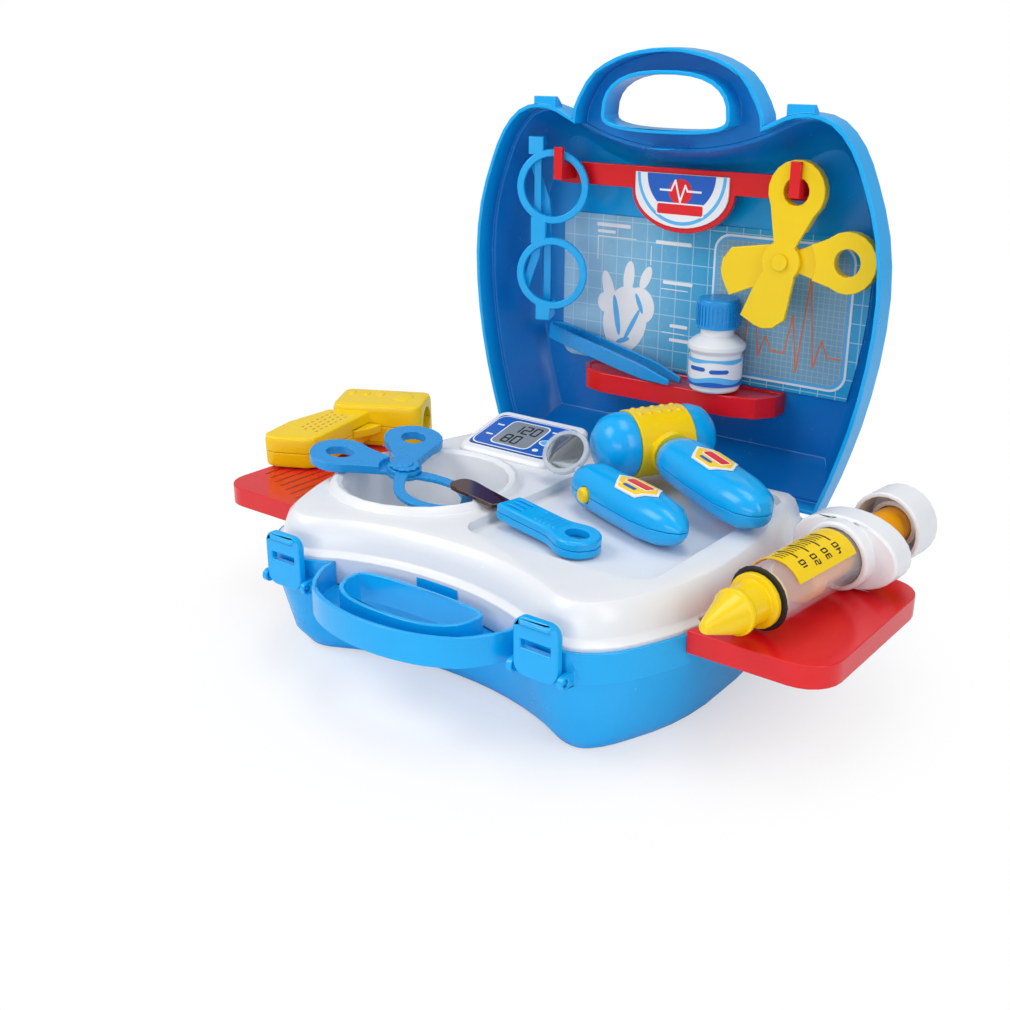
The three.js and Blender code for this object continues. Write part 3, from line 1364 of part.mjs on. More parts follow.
// Syringe: nozzle, seal, clear barrel with a finger flange, and a plunger
function syringe() {
  const barrel = turnedX([[barrel_bore, barrel_low], [barrel_radius, barrel_low],
    [barrel_radius, barrel_high], [barrel_bore, barrel_high], [barrel_bore, barrel_low]], 24);
  const collar = turnedX([[0, flange_collar_low], [flange_collar_radius - overrun, flange_collar_low],
    [flange_collar_radius, flange_collar_low + overrun], [flange_collar_radius, flange_low + overrun],
    [0, flange_low + overrun]], 24);
  const wings = oval(flange_half_width, flange_half_height, 2, 32);
  const wing_plate = loftLevels(wings, [
    [overrun, flange_low], [0, flange_low + overrun], [0, flange_high - overrun], [overrun, flange_high],
  ]).transform(axes_to_x);
  const seat = flange_high - flange_wall;
  const bore = turnedX([[0, flange_collar_low - overrun], [flange_bore, flange_collar_low - overrun],
    [flange_bore, seat], [plunger_rod_radius + fit_gap, seat],
    [plunger_rod_radius + fit_gap, flange_high + overrun], [0, flange_high + overrun]], 24);
  const rod_radius = plunger_rod_radius;
  const plunger_rod = turnedX([[0, piston_high + fit_gap], [rod_radius, piston_high + fit_gap],
    [rod_radius, plunger_rod_high], [0, plunger_rod_high]], 24);
  const piston = turnedX([[0, piston_low], [piston_radius - overrun, piston_low],
    [piston_radius, piston_low + overrun], [piston_radius, piston_high], [0, piston_high]], 24);
  const label_low = barrel_radius + fit_gap;
  const sweep = THREE.MathUtils.degToRad(syringe_label_half_deg);
  const arc = (radius) =>
    Array.from({ length: 13 }, (_, i) => {
      const angle = (i / 6 - 1) * sweep;
      return [radius * Math.sin(angle), radius * Math.cos(angle)];
    });
  const band = [...arc(label_low), ...arc(label_low + bottle_label_thickness).reverse()];
  return groupAt(syringe_place, syringe_turn_deg, [
    piece("syringe_nozzle", turnedX(nozzle_profile, 24), "yellow"),
    piece("syringe_seal", turnedX(seal_profile, 24), "rubber"),
    piece("syringe_barrel", barrel, "clear"),
    piece("syringe_flange", collar.add(wing_plate).subtract(bore), "white"),
    piece("syringe_piston", piston, "orange"),
    piece("syringe_rod", plunger_rod, "orange"),
    piece("syringe_thumb_cap", turnedX(thumb_profile, 24), "white"),
    piece("syringe_label", plateX(band, syringe_label_low, syringe_label_high), "yellow"),
  ]);
}

// Thermometer gun: two hollow halves, a sprung trigger and a lens in the muzzle
function gun() {
  const area = roundRect(gun_left, gun_low, gun_right, gun_high, gun_corner, 4);
  const skin = gun_skin;
  const thick = gun_half_thickness;
  const grip = grip_half_thickness;
  const body = loftLevels(area, [
    [0, fit_gap / 2], [0, thick - gun_edge], [gun_edge / 4, thick - gun_edge / 4], [gun_edge, thick],
  ]);
  const grip_body = loftLevels(grip_outline, [
    [0, fit_gap / 2], [0, grip - grip_edge], [grip_edge / 4, grip - grip_edge / 4], [grip_edge, grip],
  ]);
  const hollow_area = roundRect(
    gun_left + skin,
    gun_low + skin,
    muzzle_seat_x - muzzle_wall,
    gun_high - skin,
    gun_corner / 2,
    4,
  );
  const hollow = loftLevels(hollow_area, [[0, -overrun], [0, thick - gun_edge], [gun_edge / 2, thick - skin]]);
  const grip_hollow_solid = plate(grip_hollow, -overrun, grip - skin);
  const tube = (radius, low, high) =>
    turnedX([[0, low], [radius, low], [radius, high], [0, high]], 24);
  const muzzle = tube(muzzle_radius, muzzle_seat_x, gun_right + overrun);
  const mouth_half = trigger_half_thickness + fit_gap;
  const mouth = plate(trigger_mouth, -mouth_half, mouth_half);
  const half = body.add(grip_body)
    .subtract(hollow)
    .subtract(grip_hollow_solid)
    .subtract(muzzle)
    .subtract(mouth);
  const seat_x = trigger_spring_low - fit_gap;
  const reach = trigger_spring_radius + fit_gap;
  const seat = block(
    [seat_x - trigger_stop_thickness, trigger_spring_y - reach, -fit_gap / 2 - grip + skin / 2],
    [seat_x, trigger_spring_y + reach, -fit_gap / 2],
  );
  const trigger = plate(trigger_shape, -trigger_half_thickness, trigger_half_thickness)
    .add(plate(trigger_flange, -trigger_flange_half_thickness, trigger_flange_half_thickness));
  const spring = coil(trigger_spring_radius, trigger_spring_length, trigger_spring_turns, spring_wire)
    .translate([trigger_spring_low, trigger_spring_y, 0]);
  const lens_low = muzzle_seat_x + fit_gap;
  return groupAt(gun_place, gun_turn_deg, [
    piece("gun_half_left", half, "yellow"),
    piece("gun_half_right", half.mirror([0, 0, 1]).add(seat), "yellow"),
    piece("gun_trigger", trigger, "yellow"),
    piece("trigger_spring", spring, "steel"),
    piece("gun_lens", tube(muzzle_radius - fit_gap, lens_low, lens_low + lens_thickness), "maroon"),
  ]);
}

// Bottle on the lid's shelf, in the lid's own frame
function bottle() {
  const foot = lid_shelf_low + lid_shelf_height + bottle_lift;
  const low = bottle_label_radius - bottle_label_thickness;
  const band = turnedY([[low, bottle_label_low], [bottle_label_radius, bottle_label_low],
    [bottle_label_radius, bottle_label_high], [low, bottle_label_high], [low, bottle_label_low]], 24);
  return groupAt([bottle_x, foot, lid_depth - bottle_depth], [0, 0, 0], [
    piece("bottle_body", turnedY(bottle_profile, 32), "white"),
    piece("bottle_cap", turnedY(bottle_cap_profile, 32), "tool_blue"),
    piece("bottle_label", band, "white"),
  ]);
}

// Tweezers: one bent strip, tapered to its tips
function tweezers() {
  const side = [...smooth(tweezers_outer, 36), ...smooth(tweezers_inner, 36)];
  const reach = tweezers_plan[1][0];
  const bent = plateY(side, -reach, reach);
  const solid = bent.intersect(plate(tweezers_plan, -reach, reach));
  return groupAt(tweezers_place, tweezers_turn_deg, [piece("tweezers", solid, "tool_blue")]);
}

// Glasses: a frame of two rings, and two arms on side pins, one folded over the other
function glasses() {
  const high = glasses_half_thickness;
  const discAt = (y, radius, reach) => plate(shifted(oval(radius, radius, 2, 32), 0, y), -reach, reach);
  const ringAt = (y) => discAt(y, glasses_ring_radius, high);
  const boreAt = (y) => discAt(y, glasses_ring_bore, high + overrun);
  const bridge = block(
    [glasses_bridge_left, -glasses_bridge_half_length, -high],
    [glasses_bridge_right, glasses_bridge_half_length, high],
  );
  const cheeks = (side, lane, arm_z) => {
    const [left, right] = [lane[0] - fit_gap, lane[1] + fit_gap];
    const low_y = Math.min(side * glasses_cheek_low, side * glasses_cheek_high);
    const high_y = Math.max(side * glasses_cheek_low, side * glasses_cheek_high);
    const low_z = arm_z - glasses_arm_thickness;
    const cheek = (x) => block([x, low_y, low_z], [x + glasses_cheek, high_y, high]);
    const face = block([left - glasses_cheek, low_y, -high], [right + glasses_cheek, high_y, high]);
    const hole = shifted(
      oval(glasses_pin_radius + fit_gap, glasses_pin_radius + fit_gap, 2, 12),
      side * glasses_pin_y,
      arm_z,
    );
    const bore = plateX(hole, left - glasses_cheek - overrun, right + glasses_cheek + overrun);
    return joined([cheek(left - glasses_cheek), cheek(right), face]).subtract(bore);
  };
  const frame = joined([
    ringAt(glasses_ring_y), ringAt(-glasses_ring_y), bridge,
    cheeks(1, glasses_upper_lane, glasses_upper_arm_z),
    cheeks(-1, glasses_lower_lane, glasses_lower_arm_z),
  ]);
  const bores = boreAt(glasses_ring_y).add(boreAt(-glasses_ring_y));
  const arm = (side, [left, right], arm_z) => {
    const half = glasses_arm_thickness / 2;
    const far = glasses_pin_y - glasses_arm_length;
    const bend = far + glasses_ear_length;
    const ear = glasses_ear_reach;
    const shape = [
      [right, glasses_pin_y + half], [left, glasses_pin_y + half], [left, bend + ear], [left - ear / 4, bend],
      [left - ear, far + ear / 2], [left - ear / 2, far], [right - ear / 2, bend - ear],
      [right - ear / 8, bend], [right, bend + ear],
    ];
    const pin = shifted(
      oval(glasses_pin_radius, glasses_pin_radius, 2, 12),
      side * glasses_pin_y,
      arm_z,
    );
    const reach = glasses_cheek + fit_gap;
    const pins = plateX(pin, left - reach, right + reach);
    return plate(scaled(shape, 1, side), arm_z - half, arm_z + half).add(pins);
  };
  return groupAt(glasses_place, glasses_turn_deg, [
    piece("glasses_frame", frame.subtract(bores), "case_blue"),
    piece("glasses_arm_upper", arm(1, glasses_upper_lane, glasses_upper_arm_z), "case_blue"),
    piece("glasses_arm_lower", arm(-1, glasses_lower_lane, glasses_lower_arm_z), "case_blue"),
  ]);
}

const base = new THREE.Group();
base.add(
  piece("base_shell", baseShell(), "case_blue"),
  stopStrip(),
  latch("latch_left", -latch_x),
  latch("latch_right", latch_x),
  piece("tray", trayShell(), "white"),
  shelf("shelf_left", -1),
  shelf("shelf_right", 1),
);
const face_low = fit_gap - monitor_face_thickness;
base.add(
  groupAt([monitor_x, monitor_y, monitor_middle_z], [monitor_tilt_deg, 0, 0], [
    piece("monitor_face", monitorPlate(0, face_low, fit_gap), "deep_blue"),
  ]),
);

// The lid stands on its hinge edge, so its own Z runs to the front.
const lid = groupAt([0, hinge_y + lid_depth, lid_foot_z], [upright_deg, 0, 0], [
  piece("lid_shell", lidShell(), "case_blue"),
  hookBar(),
  badgePlate(),
  lidPanel(),
  lidShelf(),
]);

base.add(forceps(), scalpel(), hammer(), mirrorTool(), syringe(), gun());
lid.add(scissors(), bottle(), tweezers(), glasses());

const group = new THREE.Group();
group.add(base, lid);

export default group;
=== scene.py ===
# %% [markdown]
# A toy doctor case stands open with its tools laid out. The imported solids give the place and size
# of every piece, so they are loaded first, and the box round a solid places some of what is
# drawn on it.
# %% Load the solids
import bpy
import bmesh
import json
import math
import numpy as np
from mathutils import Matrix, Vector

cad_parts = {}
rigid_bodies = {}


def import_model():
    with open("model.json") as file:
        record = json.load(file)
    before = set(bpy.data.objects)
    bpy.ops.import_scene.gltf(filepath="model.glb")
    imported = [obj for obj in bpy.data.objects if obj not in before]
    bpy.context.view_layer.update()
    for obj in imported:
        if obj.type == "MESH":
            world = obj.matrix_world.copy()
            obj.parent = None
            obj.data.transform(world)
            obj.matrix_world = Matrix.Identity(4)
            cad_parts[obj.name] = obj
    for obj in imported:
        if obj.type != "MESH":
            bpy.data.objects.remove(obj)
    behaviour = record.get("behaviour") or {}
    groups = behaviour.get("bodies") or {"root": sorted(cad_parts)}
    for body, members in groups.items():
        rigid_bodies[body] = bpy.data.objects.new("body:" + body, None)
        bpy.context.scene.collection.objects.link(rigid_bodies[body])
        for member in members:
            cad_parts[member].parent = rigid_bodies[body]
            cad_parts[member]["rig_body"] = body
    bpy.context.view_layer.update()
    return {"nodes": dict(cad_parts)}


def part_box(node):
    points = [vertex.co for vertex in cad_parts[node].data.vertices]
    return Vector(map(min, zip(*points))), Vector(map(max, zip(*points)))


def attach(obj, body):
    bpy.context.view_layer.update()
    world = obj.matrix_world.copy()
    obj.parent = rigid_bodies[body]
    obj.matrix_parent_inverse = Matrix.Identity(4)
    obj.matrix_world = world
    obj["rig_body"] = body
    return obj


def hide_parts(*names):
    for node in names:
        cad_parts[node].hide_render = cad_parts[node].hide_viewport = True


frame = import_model()
scene = bpy.context.scene
scene.view_settings.view_transform = "Standard"
print(len(frame["nodes"]), "solids loaded")

# %% [markdown]
# The photograph was taken from the front right and a little above, with a medium lens. These
# values come from fitting known edges of the case to the picture, so that drawn pieces land on
# theirs.
# %% Camera
sensor_mm, lens_mm = 36, 44.13
camera_place = (0.36215, -0.49037, 0.30158)
look_down_deg, look_left_deg = 20.582, 38.195
camera_data = bpy.data.cameras.new("camera")
camera_data.sensor_width = sensor_mm
camera_data.lens = lens_mm
camera_data.clip_start = 0.02
camera = bpy.data.objects.new("camera", camera_data)
camera.location = camera_place
camera.rotation_euler = (math.radians(90 - look_down_deg), 0, math.radians(look_left_deg))
scene.collection.objects.link(camera)
scene.camera = camera
print("camera lens", camera_data.lens)

# %% [markdown]
# A studio with a white sweep lights toys like this one with large soft boxes, whose reflections
# show the gloss. A box above left shapes the lid, one at the right lights the shelf and syringe,
# and one overhead draws the bright lines on edges that look up.
# %% Lights and surroundings
def soft_box(name, place, aim, size, power):
    """An area light of the given width and height at place, turned so that it looks at aim."""
    light = bpy.data.lights.new(name, "AREA")
    light.shape = "RECTANGLE"
    light.size, light.size_y = size
    light.energy = power
    obj = bpy.data.objects.new(name, light)
    obj.location = place
    way = np.array(aim, float) - np.array(place, float)
    obj.rotation_euler = (
        math.acos(-way[2] / np.linalg.norm(way)),
        0,
        math.atan2(way[1], way[0]) - math.pi / 2,
    )
    scene.collection.objects.link(obj)


soft_box("key_box", (-0.75, -0.75, 1.05), (0, 0.05, 0.12), (0.7, 0.7), 7.3)
soft_box("right_box", (1.0, -0.35, 0.7), (0, 0.02, 0.1), (0.35, 0.9), 3.4)
soft_box("over_box", (0.05, 0.1, 1.25), (0, 0.05, 0.1), (0.8, 0.4), 3.6)
soft_box("front_box", (0.25, -1.2, 0.35), (0, 0, 0.1), (0.9, 0.3), 2.8)

studio_level = 0.49
world = bpy.data.worlds.new("studio")
scene.world = world
world.use_nodes = True
wires = world.node_tree
wires.nodes.clear()
seen = wires.nodes.new("ShaderNodeBackground")
seen.inputs[0].default_value = (1, 1, 1, 1)
around = wires.nodes.new("ShaderNodeBackground")
around.inputs[0].default_value = (0.93, 0.96, 1, 1)
around.inputs[1].default_value = studio_level
path = wires.nodes.new("ShaderNodeLightPath")
choice = wires.nodes.new("ShaderNodeMixShader")
out = wires.nodes.new("ShaderNodeOutputWorld")
wires.links.new(path.outputs["Is Camera Ray"], choice.inputs[0])
wires.links.new(around.outputs[0], choice.inputs[1])
wires.links.new(seen.outputs[0], choice.inputs[2])
wires.links.new(choice.outputs[0], out.inputs[0])

# %% [markdown]
# The sweep under the case is plain white paper. Close to the case it takes the soft shadow, and
# further out it runs into pure white, as it does in the photograph.
# %% Floor
def grid_mesh(name, points):
    """A surface through a grid of points, rows by columns, with one quad between each four
    neighbours."""
    rows, columns = points.shape[:2]
    i, j = np.meshgrid(np.arange(rows - 1), np.arange(columns - 1), indexing="ij")
    corner = (i * columns + j).ravel()
    faces = np.stack([corner, corner + columns, corner + columns + 1, corner + 1], 1)
    mesh = bpy.data.meshes.new(name)
    mesh.from_pydata(points.reshape(-1, 3).tolist(), [], faces.tolist())
    mesh.update()
    return mesh


shadow_radius, white_radius, white_at_shadow = 0.08, 0.24, 0.5
floor_reach, floor_drop = 4, 0.0006
paper = bpy.data.materials.new("paper")
paper.use_nodes = True
wires = paper.node_tree
sheet_shader = wires.nodes["Principled BSDF"]
sheet_shader.inputs["Base Color"].default_value = (0.93, 0.93, 0.94, 1)
sheet_shader.inputs["Roughness"].default_value = 0.75
sheet_shader.inputs["Specular IOR Level"].default_value = 0.2
place = wires.nodes.new("ShaderNodeTexCoord")
length = wires.nodes.new("ShaderNodeVectorMath")
length.operation = "LENGTH"
fade = wires.nodes.new("ShaderNodeMapRange")
fade.interpolation_type = "SMOOTHSTEP"
fade.inputs["From Min"].default_value = shadow_radius
fade.inputs["From Max"].default_value = white_radius
fade.inputs["To Min"].default_value = white_at_shadow
plain = wires.nodes.new("ShaderNodeEmission")
plain.inputs["Color"].default_value = (1, 1, 1, 1)
path = wires.nodes.new("ShaderNodeLightPath")
both = wires.nodes.new("ShaderNodeMath")
both.operation = "MULTIPLY"
choice = wires.nodes.new("ShaderNodeMixShader")
wires.links.new(place.outputs["Object"], length.inputs[0])
wires.links.new(length.outputs["Value"], fade.inputs["Value"])
wires.links.new(fade.outputs["Result"], both.inputs[0])
wires.links.new(path.outputs["Is Camera Ray"], both.inputs[1])
wires.links.new(both.outputs[0], choice.inputs[0])
wires.links.new(sheet_shader.outputs[0], choice.inputs[1])
wires.links.new(plain.outputs[0], choice.inputs[2])
wires.links.new(choice.outputs[0], wires.nodes["Material Output"].inputs[0])
side = np.linspace(-floor_reach, floor_reach, 3)
floor_points = np.stack(np.meshgrid(side, side, [-floor_drop], indexing="ij"), -1).reshape(3, 3, 3)
floor = bpy.data.objects.new("floor", grid_mesh("floor", floor_points))
floor.data.materials.append(paper)
scene.collection.objects.link(floor)
print("floor reaches", floor_reach, "m")

# %% [markdown]
# Injection-moulded plastic has one colour right through, but its skin is never perfectly even. It
# has a fine spark-eroded grain, slow waves from cooling, and slightly duller patches where hands
# have been. One shared group makes all three from the piece's own coordinates, so that they move
# with the piece.
# %% Moulded skin group
skin = bpy.data.node_groups.new("moulded_skin", "ShaderNodeTree")
for title, kind, start in (
    ("Colour", "NodeSocketColor", (0.8, 0.8, 0.8, 1)),
    ("Roughness", "NodeSocketFloat", 0.2),
    ("Grain", "NodeSocketFloat", 0.05),
    ("Patches", "NodeSocketFloat", 0.06),
):
    skin.interface.new_socket(title, in_out="INPUT", socket_type=kind).default_value = start
for title, kind in (
    ("Colour", "NodeSocketColor"),
    ("Roughness", "NodeSocketFloat"),
    ("Normal", "NodeSocketVector"),
):
    skin.interface.new_socket(title, in_out="OUTPUT", socket_type=kind)


def noise_node(tree, coordinates, scale, detail):
    """Soft noise over the piece's own coordinates, with scale in waves per metre."""
    node = tree.nodes.new("ShaderNodeTexNoise")
    node.inputs["Scale"].default_value = scale
    node.inputs["Detail"].default_value = detail
    tree.links.new(coordinates, node.inputs["Vector"])
    return node.outputs["Fac"]


def math_node(tree, operation, a, b=None, c=None):
    """One arithmetic node on links or numbers, giving its result."""
    node = tree.nodes.new("ShaderNodeMath")
    node.operation = operation
    for spot, value in enumerate((a, b, c)):
        if value is None:
            continue
        if isinstance(value, (int, float)):
            node.inputs[spot].default_value = value
        else:
            tree.links.new(value, node.inputs[spot])
    return node.outputs[0]


cooling_waves, spark_grain, hand_wear = 42, 1500, 160
shade_swing, wear_swing, wave_height, grain_depth = 1.6, 0.16, 6, 0.00006
least_roughness = 0.03
given = skin.nodes.new("NodeGroupInput")
made = skin.nodes.new("NodeGroupOutput")
where = skin.nodes.new("ShaderNodeTexCoord").outputs["Object"]
slow = noise_node(skin, where, cooling_waves, 2)
fine = noise_node(skin, where, spark_grain, 3)
worn = noise_node(skin, where, hand_wear, 4)
swing = math_node(skin, "SUBTRACT", slow, 0.5)
swing = math_node(skin, "MULTIPLY", swing, given.outputs["Patches"])
shade = math_node(skin, "MULTIPLY_ADD", swing, shade_swing, 1)
tinted = skin.nodes.new("ShaderNodeVectorMath")
tinted.operation = "SCALE"
skin.links.new(given.outputs["Colour"], tinted.inputs[0])
skin.links.new(shade, tinted.inputs["Scale"])
dull = math_node(skin, "SUBTRACT", worn, 0.5)
dull = math_node(skin, "MULTIPLY_ADD", dull, wear_swing, given.outputs["Roughness"])
bump = skin.nodes.new("ShaderNodeBump")
bump.inputs["Distance"].default_value = grain_depth
skin.links.new(given.outputs["Grain"], bump.inputs["Strength"])
height = math_node(skin, "MULTIPLY_ADD", slow, wave_height, fine)
skin.links.new(height, bump.inputs["Height"])
skin.links.new(tinted.outputs[0], made.inputs["Colour"])
skin.links.new(math_node(skin, "MAXIMUM", dull, least_roughness), made.inputs["Roughness"])
skin.links.new(bump.outputs[0], made.inputs["Normal"])
print("group", skin.name, "has", len(skin.nodes), "nodes")

# %% [markdown]
# Each colour of plastic is one finish. The glossy ones have a thin clear coat of reflection, as
# polished moulds give, and the black seal is matt rubber. Clear parts are thin, so they let the
# view through and keep only their reflections and a little grey.
# %% Finishes
def finish(
    name, colour, roughness, grain=0.12, patches=0.06, coat=0.08, metal=0.0, alpha=1.0, slot=None
):
    """A material with the moulded skin, and the record's slot that it belongs to."""
    material = bpy.data.materials.new(name)
    material.use_nodes = True
    tree = material.node_tree
    shader = tree.nodes["Principled BSDF"]
    group = tree.nodes.new("ShaderNodeGroup")
    group.node_tree = skin
    group.inputs["Colour"].default_value = (*colour, 1)
    group.inputs["Roughness"].default_value = roughness
    group.inputs["Grain"].default_value = grain
    group.inputs["Patches"].default_value = patches
    tree.links.new(group.outputs["Colour"], shader.inputs["Base Color"])
    tree.links.new(group.outputs["Roughness"], shader.inputs["Roughness"])
    tree.links.new(group.outputs["Normal"], shader.inputs["Normal"])
    shader.inputs["Metallic"].default_value = metal
    shader.inputs["Specular IOR Level"].default_value = 0.38
    shader.inputs["Coat Weight"].default_value = coat
    shader.inputs["Coat Roughness"].default_value = 0.05
    shader.inputs["Alpha"].default_value = alpha
    material["slot"] = slot or name
    return material


rim_blue = (0.001, 0.39, 0.84)
clear_skin = dict(grain=0.02, patches=0.0, coat=0.9, slot="clear")
finishes = {
    "case_blue": finish("case_blue", rim_blue, 0.24),
    "deep_blue": finish("deep_blue", (0.004, 0.09, 0.42), 0.3),
    "tool_blue": finish("tool_blue", (0.006, 0.28, 0.68), 0.26),
    "pale_blue": finish("pale_blue", (0.2, 0.5, 0.82), 0.3),
    "red": finish("red", (0.72, 0.008, 0.012), 0.22),
    "yellow": finish("yellow", (0.9, 0.61, 0.001), 0.24),
    "orange": finish("orange", (0.88, 0.36, 0.003), 0.22),
    "white": finish("white", (0.8, 0.81, 0.83), 0.24, patches=0.02),
    "brown": finish("brown", (0.05, 0.011, 0.006), 0.12, coat=0.5),
    "maroon": finish("maroon", (0.05, 0.003, 0.008), 0.1, coat=0.6),
    "rubber": finish("rubber", (0.012, 0.012, 0.013), 0.5, grain=0.4, coat=0.0),
    "clear": finish("clear", (0.9, 0.94, 0.97), 0.05, alpha=0.2, **clear_skin),
    "clear_thick": finish("clear_thick", (0.62, 0.68, 0.73), 0.08, alpha=0.55, **clear_skin),
    "steel": finish("steel", (0.6, 0.6, 0.62), 0.25, metal=1.0, coat=0.0),
    "label": finish("label", (0.84, 0.84, 0.84), 0.35, coat=0.1),
}
print("finishes", sorted(finishes))

# %% [markdown]
# A moulded edge is never sharp: the mould's corners and the flow of plastic leave it rounded by a
# few tenths of a millimetre, and that rounding is what catches the bright line of light. Each
# solid is copied and merged, its curved faces are shaded as one surface, and its edges get this
# small rounding. Flat triangles are joined into whole faces first, but not where a flat face
# rings a hole.
# %% Dressed solids
RINGED = {"base_shell", "lid_shell", "tray"}
edge_rounding = 0.4
crease_deg, flat_deg, merge_reach = 33, 0.6, 3e-6


def dressed(node, material, rounding):
    """A merged and smoothly shaded copy of a solid with rounded edges, which stands for it.
    The rounding is in millimetres."""
    source = frame["nodes"][node]
    mesh = source.data.copy()
    mesh.name = node + "_moulding"
    if "custom_normal" in mesh.attributes:
        mesh.attributes.remove(mesh.attributes["custom_normal"])
    work = bmesh.new()
    work.from_mesh(mesh)
    bmesh.ops.remove_doubles(work, verts=work.verts, dist=merge_reach)
    if node not in RINGED:
        flat = math.radians(flat_deg)
        bmesh.ops.dissolve_limit(work, angle_limit=flat, verts=work.verts, edges=work.edges)
    limit = math.radians(crease_deg)
    for edge in work.edges:
        edge.smooth = edge.is_manifold and edge.calc_face_angle(0) < limit
    for face in work.faces:
        face.smooth = True
    work.to_mesh(mesh)
    work.free()
    mesh.materials.clear()
    mesh.materials.append(material)
    piece = bpy.data.objects.new(node + "_moulding", mesh)
    scene.collection.objects.link(piece)
    if rounding:
        bevel = piece.modifiers.new("rounding", "BEVEL")
        bevel.width = rounding / 1000
        bevel.segments = 2
        bevel.limit_method = "ANGLE"
        bevel.angle_limit = limit
        bevel.use_clamp_overlap = False
    even = piece.modifiers.new("even", "WEIGHTED_NORMAL")
    even.keep_sharp = True
    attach(piece, source["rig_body"])
    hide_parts(node)
    return piece


CASE = {
    "case_blue": ["base_shell", "hinge_strip", "lid_shell", "latch_left", "latch_right"],
    "white": ["tray", "badge_plate"],
    "deep_blue": ["monitor_face"],
    "pale_blue": ["lid_panel"],
    "red": ["hook_bar", "lid_shelf", "shelf_left", "shelf_right"],
}
TOOLS = {
    "case_blue": [
        "scalpel_handle_top", "scalpel_handle_bottom", "hammer_cap_left", "hammer_cap_right",
        "hammer_handle_top", "hammer_handle_bottom", "mirror_handle_top", "mirror_handle_bottom",
        "glasses_frame", "glasses_arm_upper", "glasses_arm_lower",
    ],
    "tool_blue": [
        "forceps_front_half", "forceps_back_half", "forceps_rivet", "tweezers", "bottle_cap",
    ],
    "yellow": [
        "hammer_sleeve", "mirror_button", "syringe_nozzle", "gun_half_left", "gun_half_right",
        "gun_trigger", "scissors_front_half", "scissors_back_half", "scissors_rivet",
        "syringe_label",
    ],
    "orange": ["syringe_rod", "syringe_piston"],
    "white": ["syringe_flange", "syringe_thumb_cap", "bottle_body", "bottle_label"],
    "brown": ["scalpel_blade"],
    "maroon": ["gun_lens"],
    "rubber": ["syringe_seal"],
    "clear": ["syringe_barrel", "mirror_lens"],
    "clear_thick": ["mirror_stem"],
    "steel": ["button_spring", "trigger_spring"],
    "label": ["hammer_label", "mirror_label"],
}
ROUND = {"latch_left": 0.7, "latch_right": 0.7, "glasses_frame": 0.6}
THIN = {
    "syringe_label", "bottle_label", "syringe_seal", "lid_panel", "monitor_face", "badge_plate",
    "mirror_lens", "gun_lens", "button_spring", "trigger_spring", "hammer_label", "mirror_label",
}
mouldings = {}
for group in (CASE, TOOLS):
    for colour, nodes in group.items():
        for node in nodes:
            rounding = 0 if node in THIN else ROUND.get(node, edge_rounding)
            mouldings[node] = dressed(node, finishes[colour], rounding)
print(len(mouldings), "solids dressed")

# %% [markdown]
# The lid stands open, and the shade in its hollow is painted into its colour: a painted shade of
# deep, saturated blue that gives way to the case's own blue at the rim, and lightens again in the
# middle of its floor as a painted pool of light. A face that looks into the hollow is marked as
# inside, and the painted shade is laid over those faces by their depth behind the rim and their
# distance from the lid's middle.
# %% Lid hollow with painted shade and light
lid_middle_x, lid_middle_z = 0.0, 0.18
lid_floor_front = 0.115
inward_reach = 0.02


def inside_marks(mesh):
    """Marks each face with 1 where it looks into the hollow: its normal points to the middle across
    the lid, or it looks to the front at the back of the hollow."""
    count = len(mesh.polygons)
    normals = np.empty(count * 3)
    centres = np.empty(count * 3)
    mesh.polygons.foreach_get("normal", normals)
    mesh.polygons.foreach_get("center", centres)
    normals, centres = normals.reshape(-1, 3), centres.reshape(-1, 3)
    inwards_x = (lid_middle_x - centres[:, 0]) * normals[:, 0]
    inwards_z = (lid_middle_z - centres[:, 2]) * normals[:, 2]
    marks = np.clip((inwards_x + inwards_z) / inward_reach, 0, 1)
    marks[(normals[:, 1] < -0.5) & (centres[:, 1] > lid_floor_front)] = 1
    attribute = mesh.attributes.new("inside", "FLOAT", "FACE")
    attribute.data.foreach_set("value", marks.astype(np.float32))


def span_node(tree, value, low, high):
    """A soft step from 0 at low to 1 at high."""
    node = tree.nodes.new("ShaderNodeMapRange")
    node.interpolation_type = "SMOOTHSTEP"
    node.inputs["From Min"].default_value = low
    node.inputs["From Max"].default_value = high
    tree.links.new(value, node.inputs["Value"])
    return node.outputs["Result"]


def mix_node(tree, factor, first, second):
    """A blend of two colours or links by a factor."""
    mix = tree.nodes.new("ShaderNodeMix")
    mix.data_type = "RGBA"
    tree.links.new(factor, mix.inputs["Factor"])
    for title, value in (("A", first), ("B", second)):
        if isinstance(value, tuple):
            mix.inputs[title].default_value = (*value, 1)
        else:
            tree.links.new(value, mix.inputs[title])
    return mix.outputs["Result"]


# Painted shade and light: the deep colour stands in for the shade inside the open lid, and the
# bright colour for the light in the middle of its floor.
painted_shade_colour, painted_light_colour = (0.0, 0.165, 0.53), (0.0, 0.38, 0.82)
rim_y, deep_y, near_floor_y, floor_y = 0.103, 0.122, 0.13, 0.145
painted_light_z, painted_light_inner, painted_light_outer = 0.205, 0.05, 0.135
hollow_painted_shading = finish("hollow_painted_shading", rim_blue, 0.24, slot="case_blue")
tree = hollow_painted_shading.node_tree
skin_node = next(n for n in tree.nodes if n.type == "GROUP")
mark = tree.nodes.new("ShaderNodeAttribute")
mark.attribute_name = "inside"
parts = tree.nodes.new("ShaderNodeSeparateXYZ")
tree.links.new(tree.nodes.new("ShaderNodeTexCoord").outputs["Object"], parts.inputs[0])
painted_shade_depth = span_node(tree, parts.outputs["Y"], rim_y, deep_y)
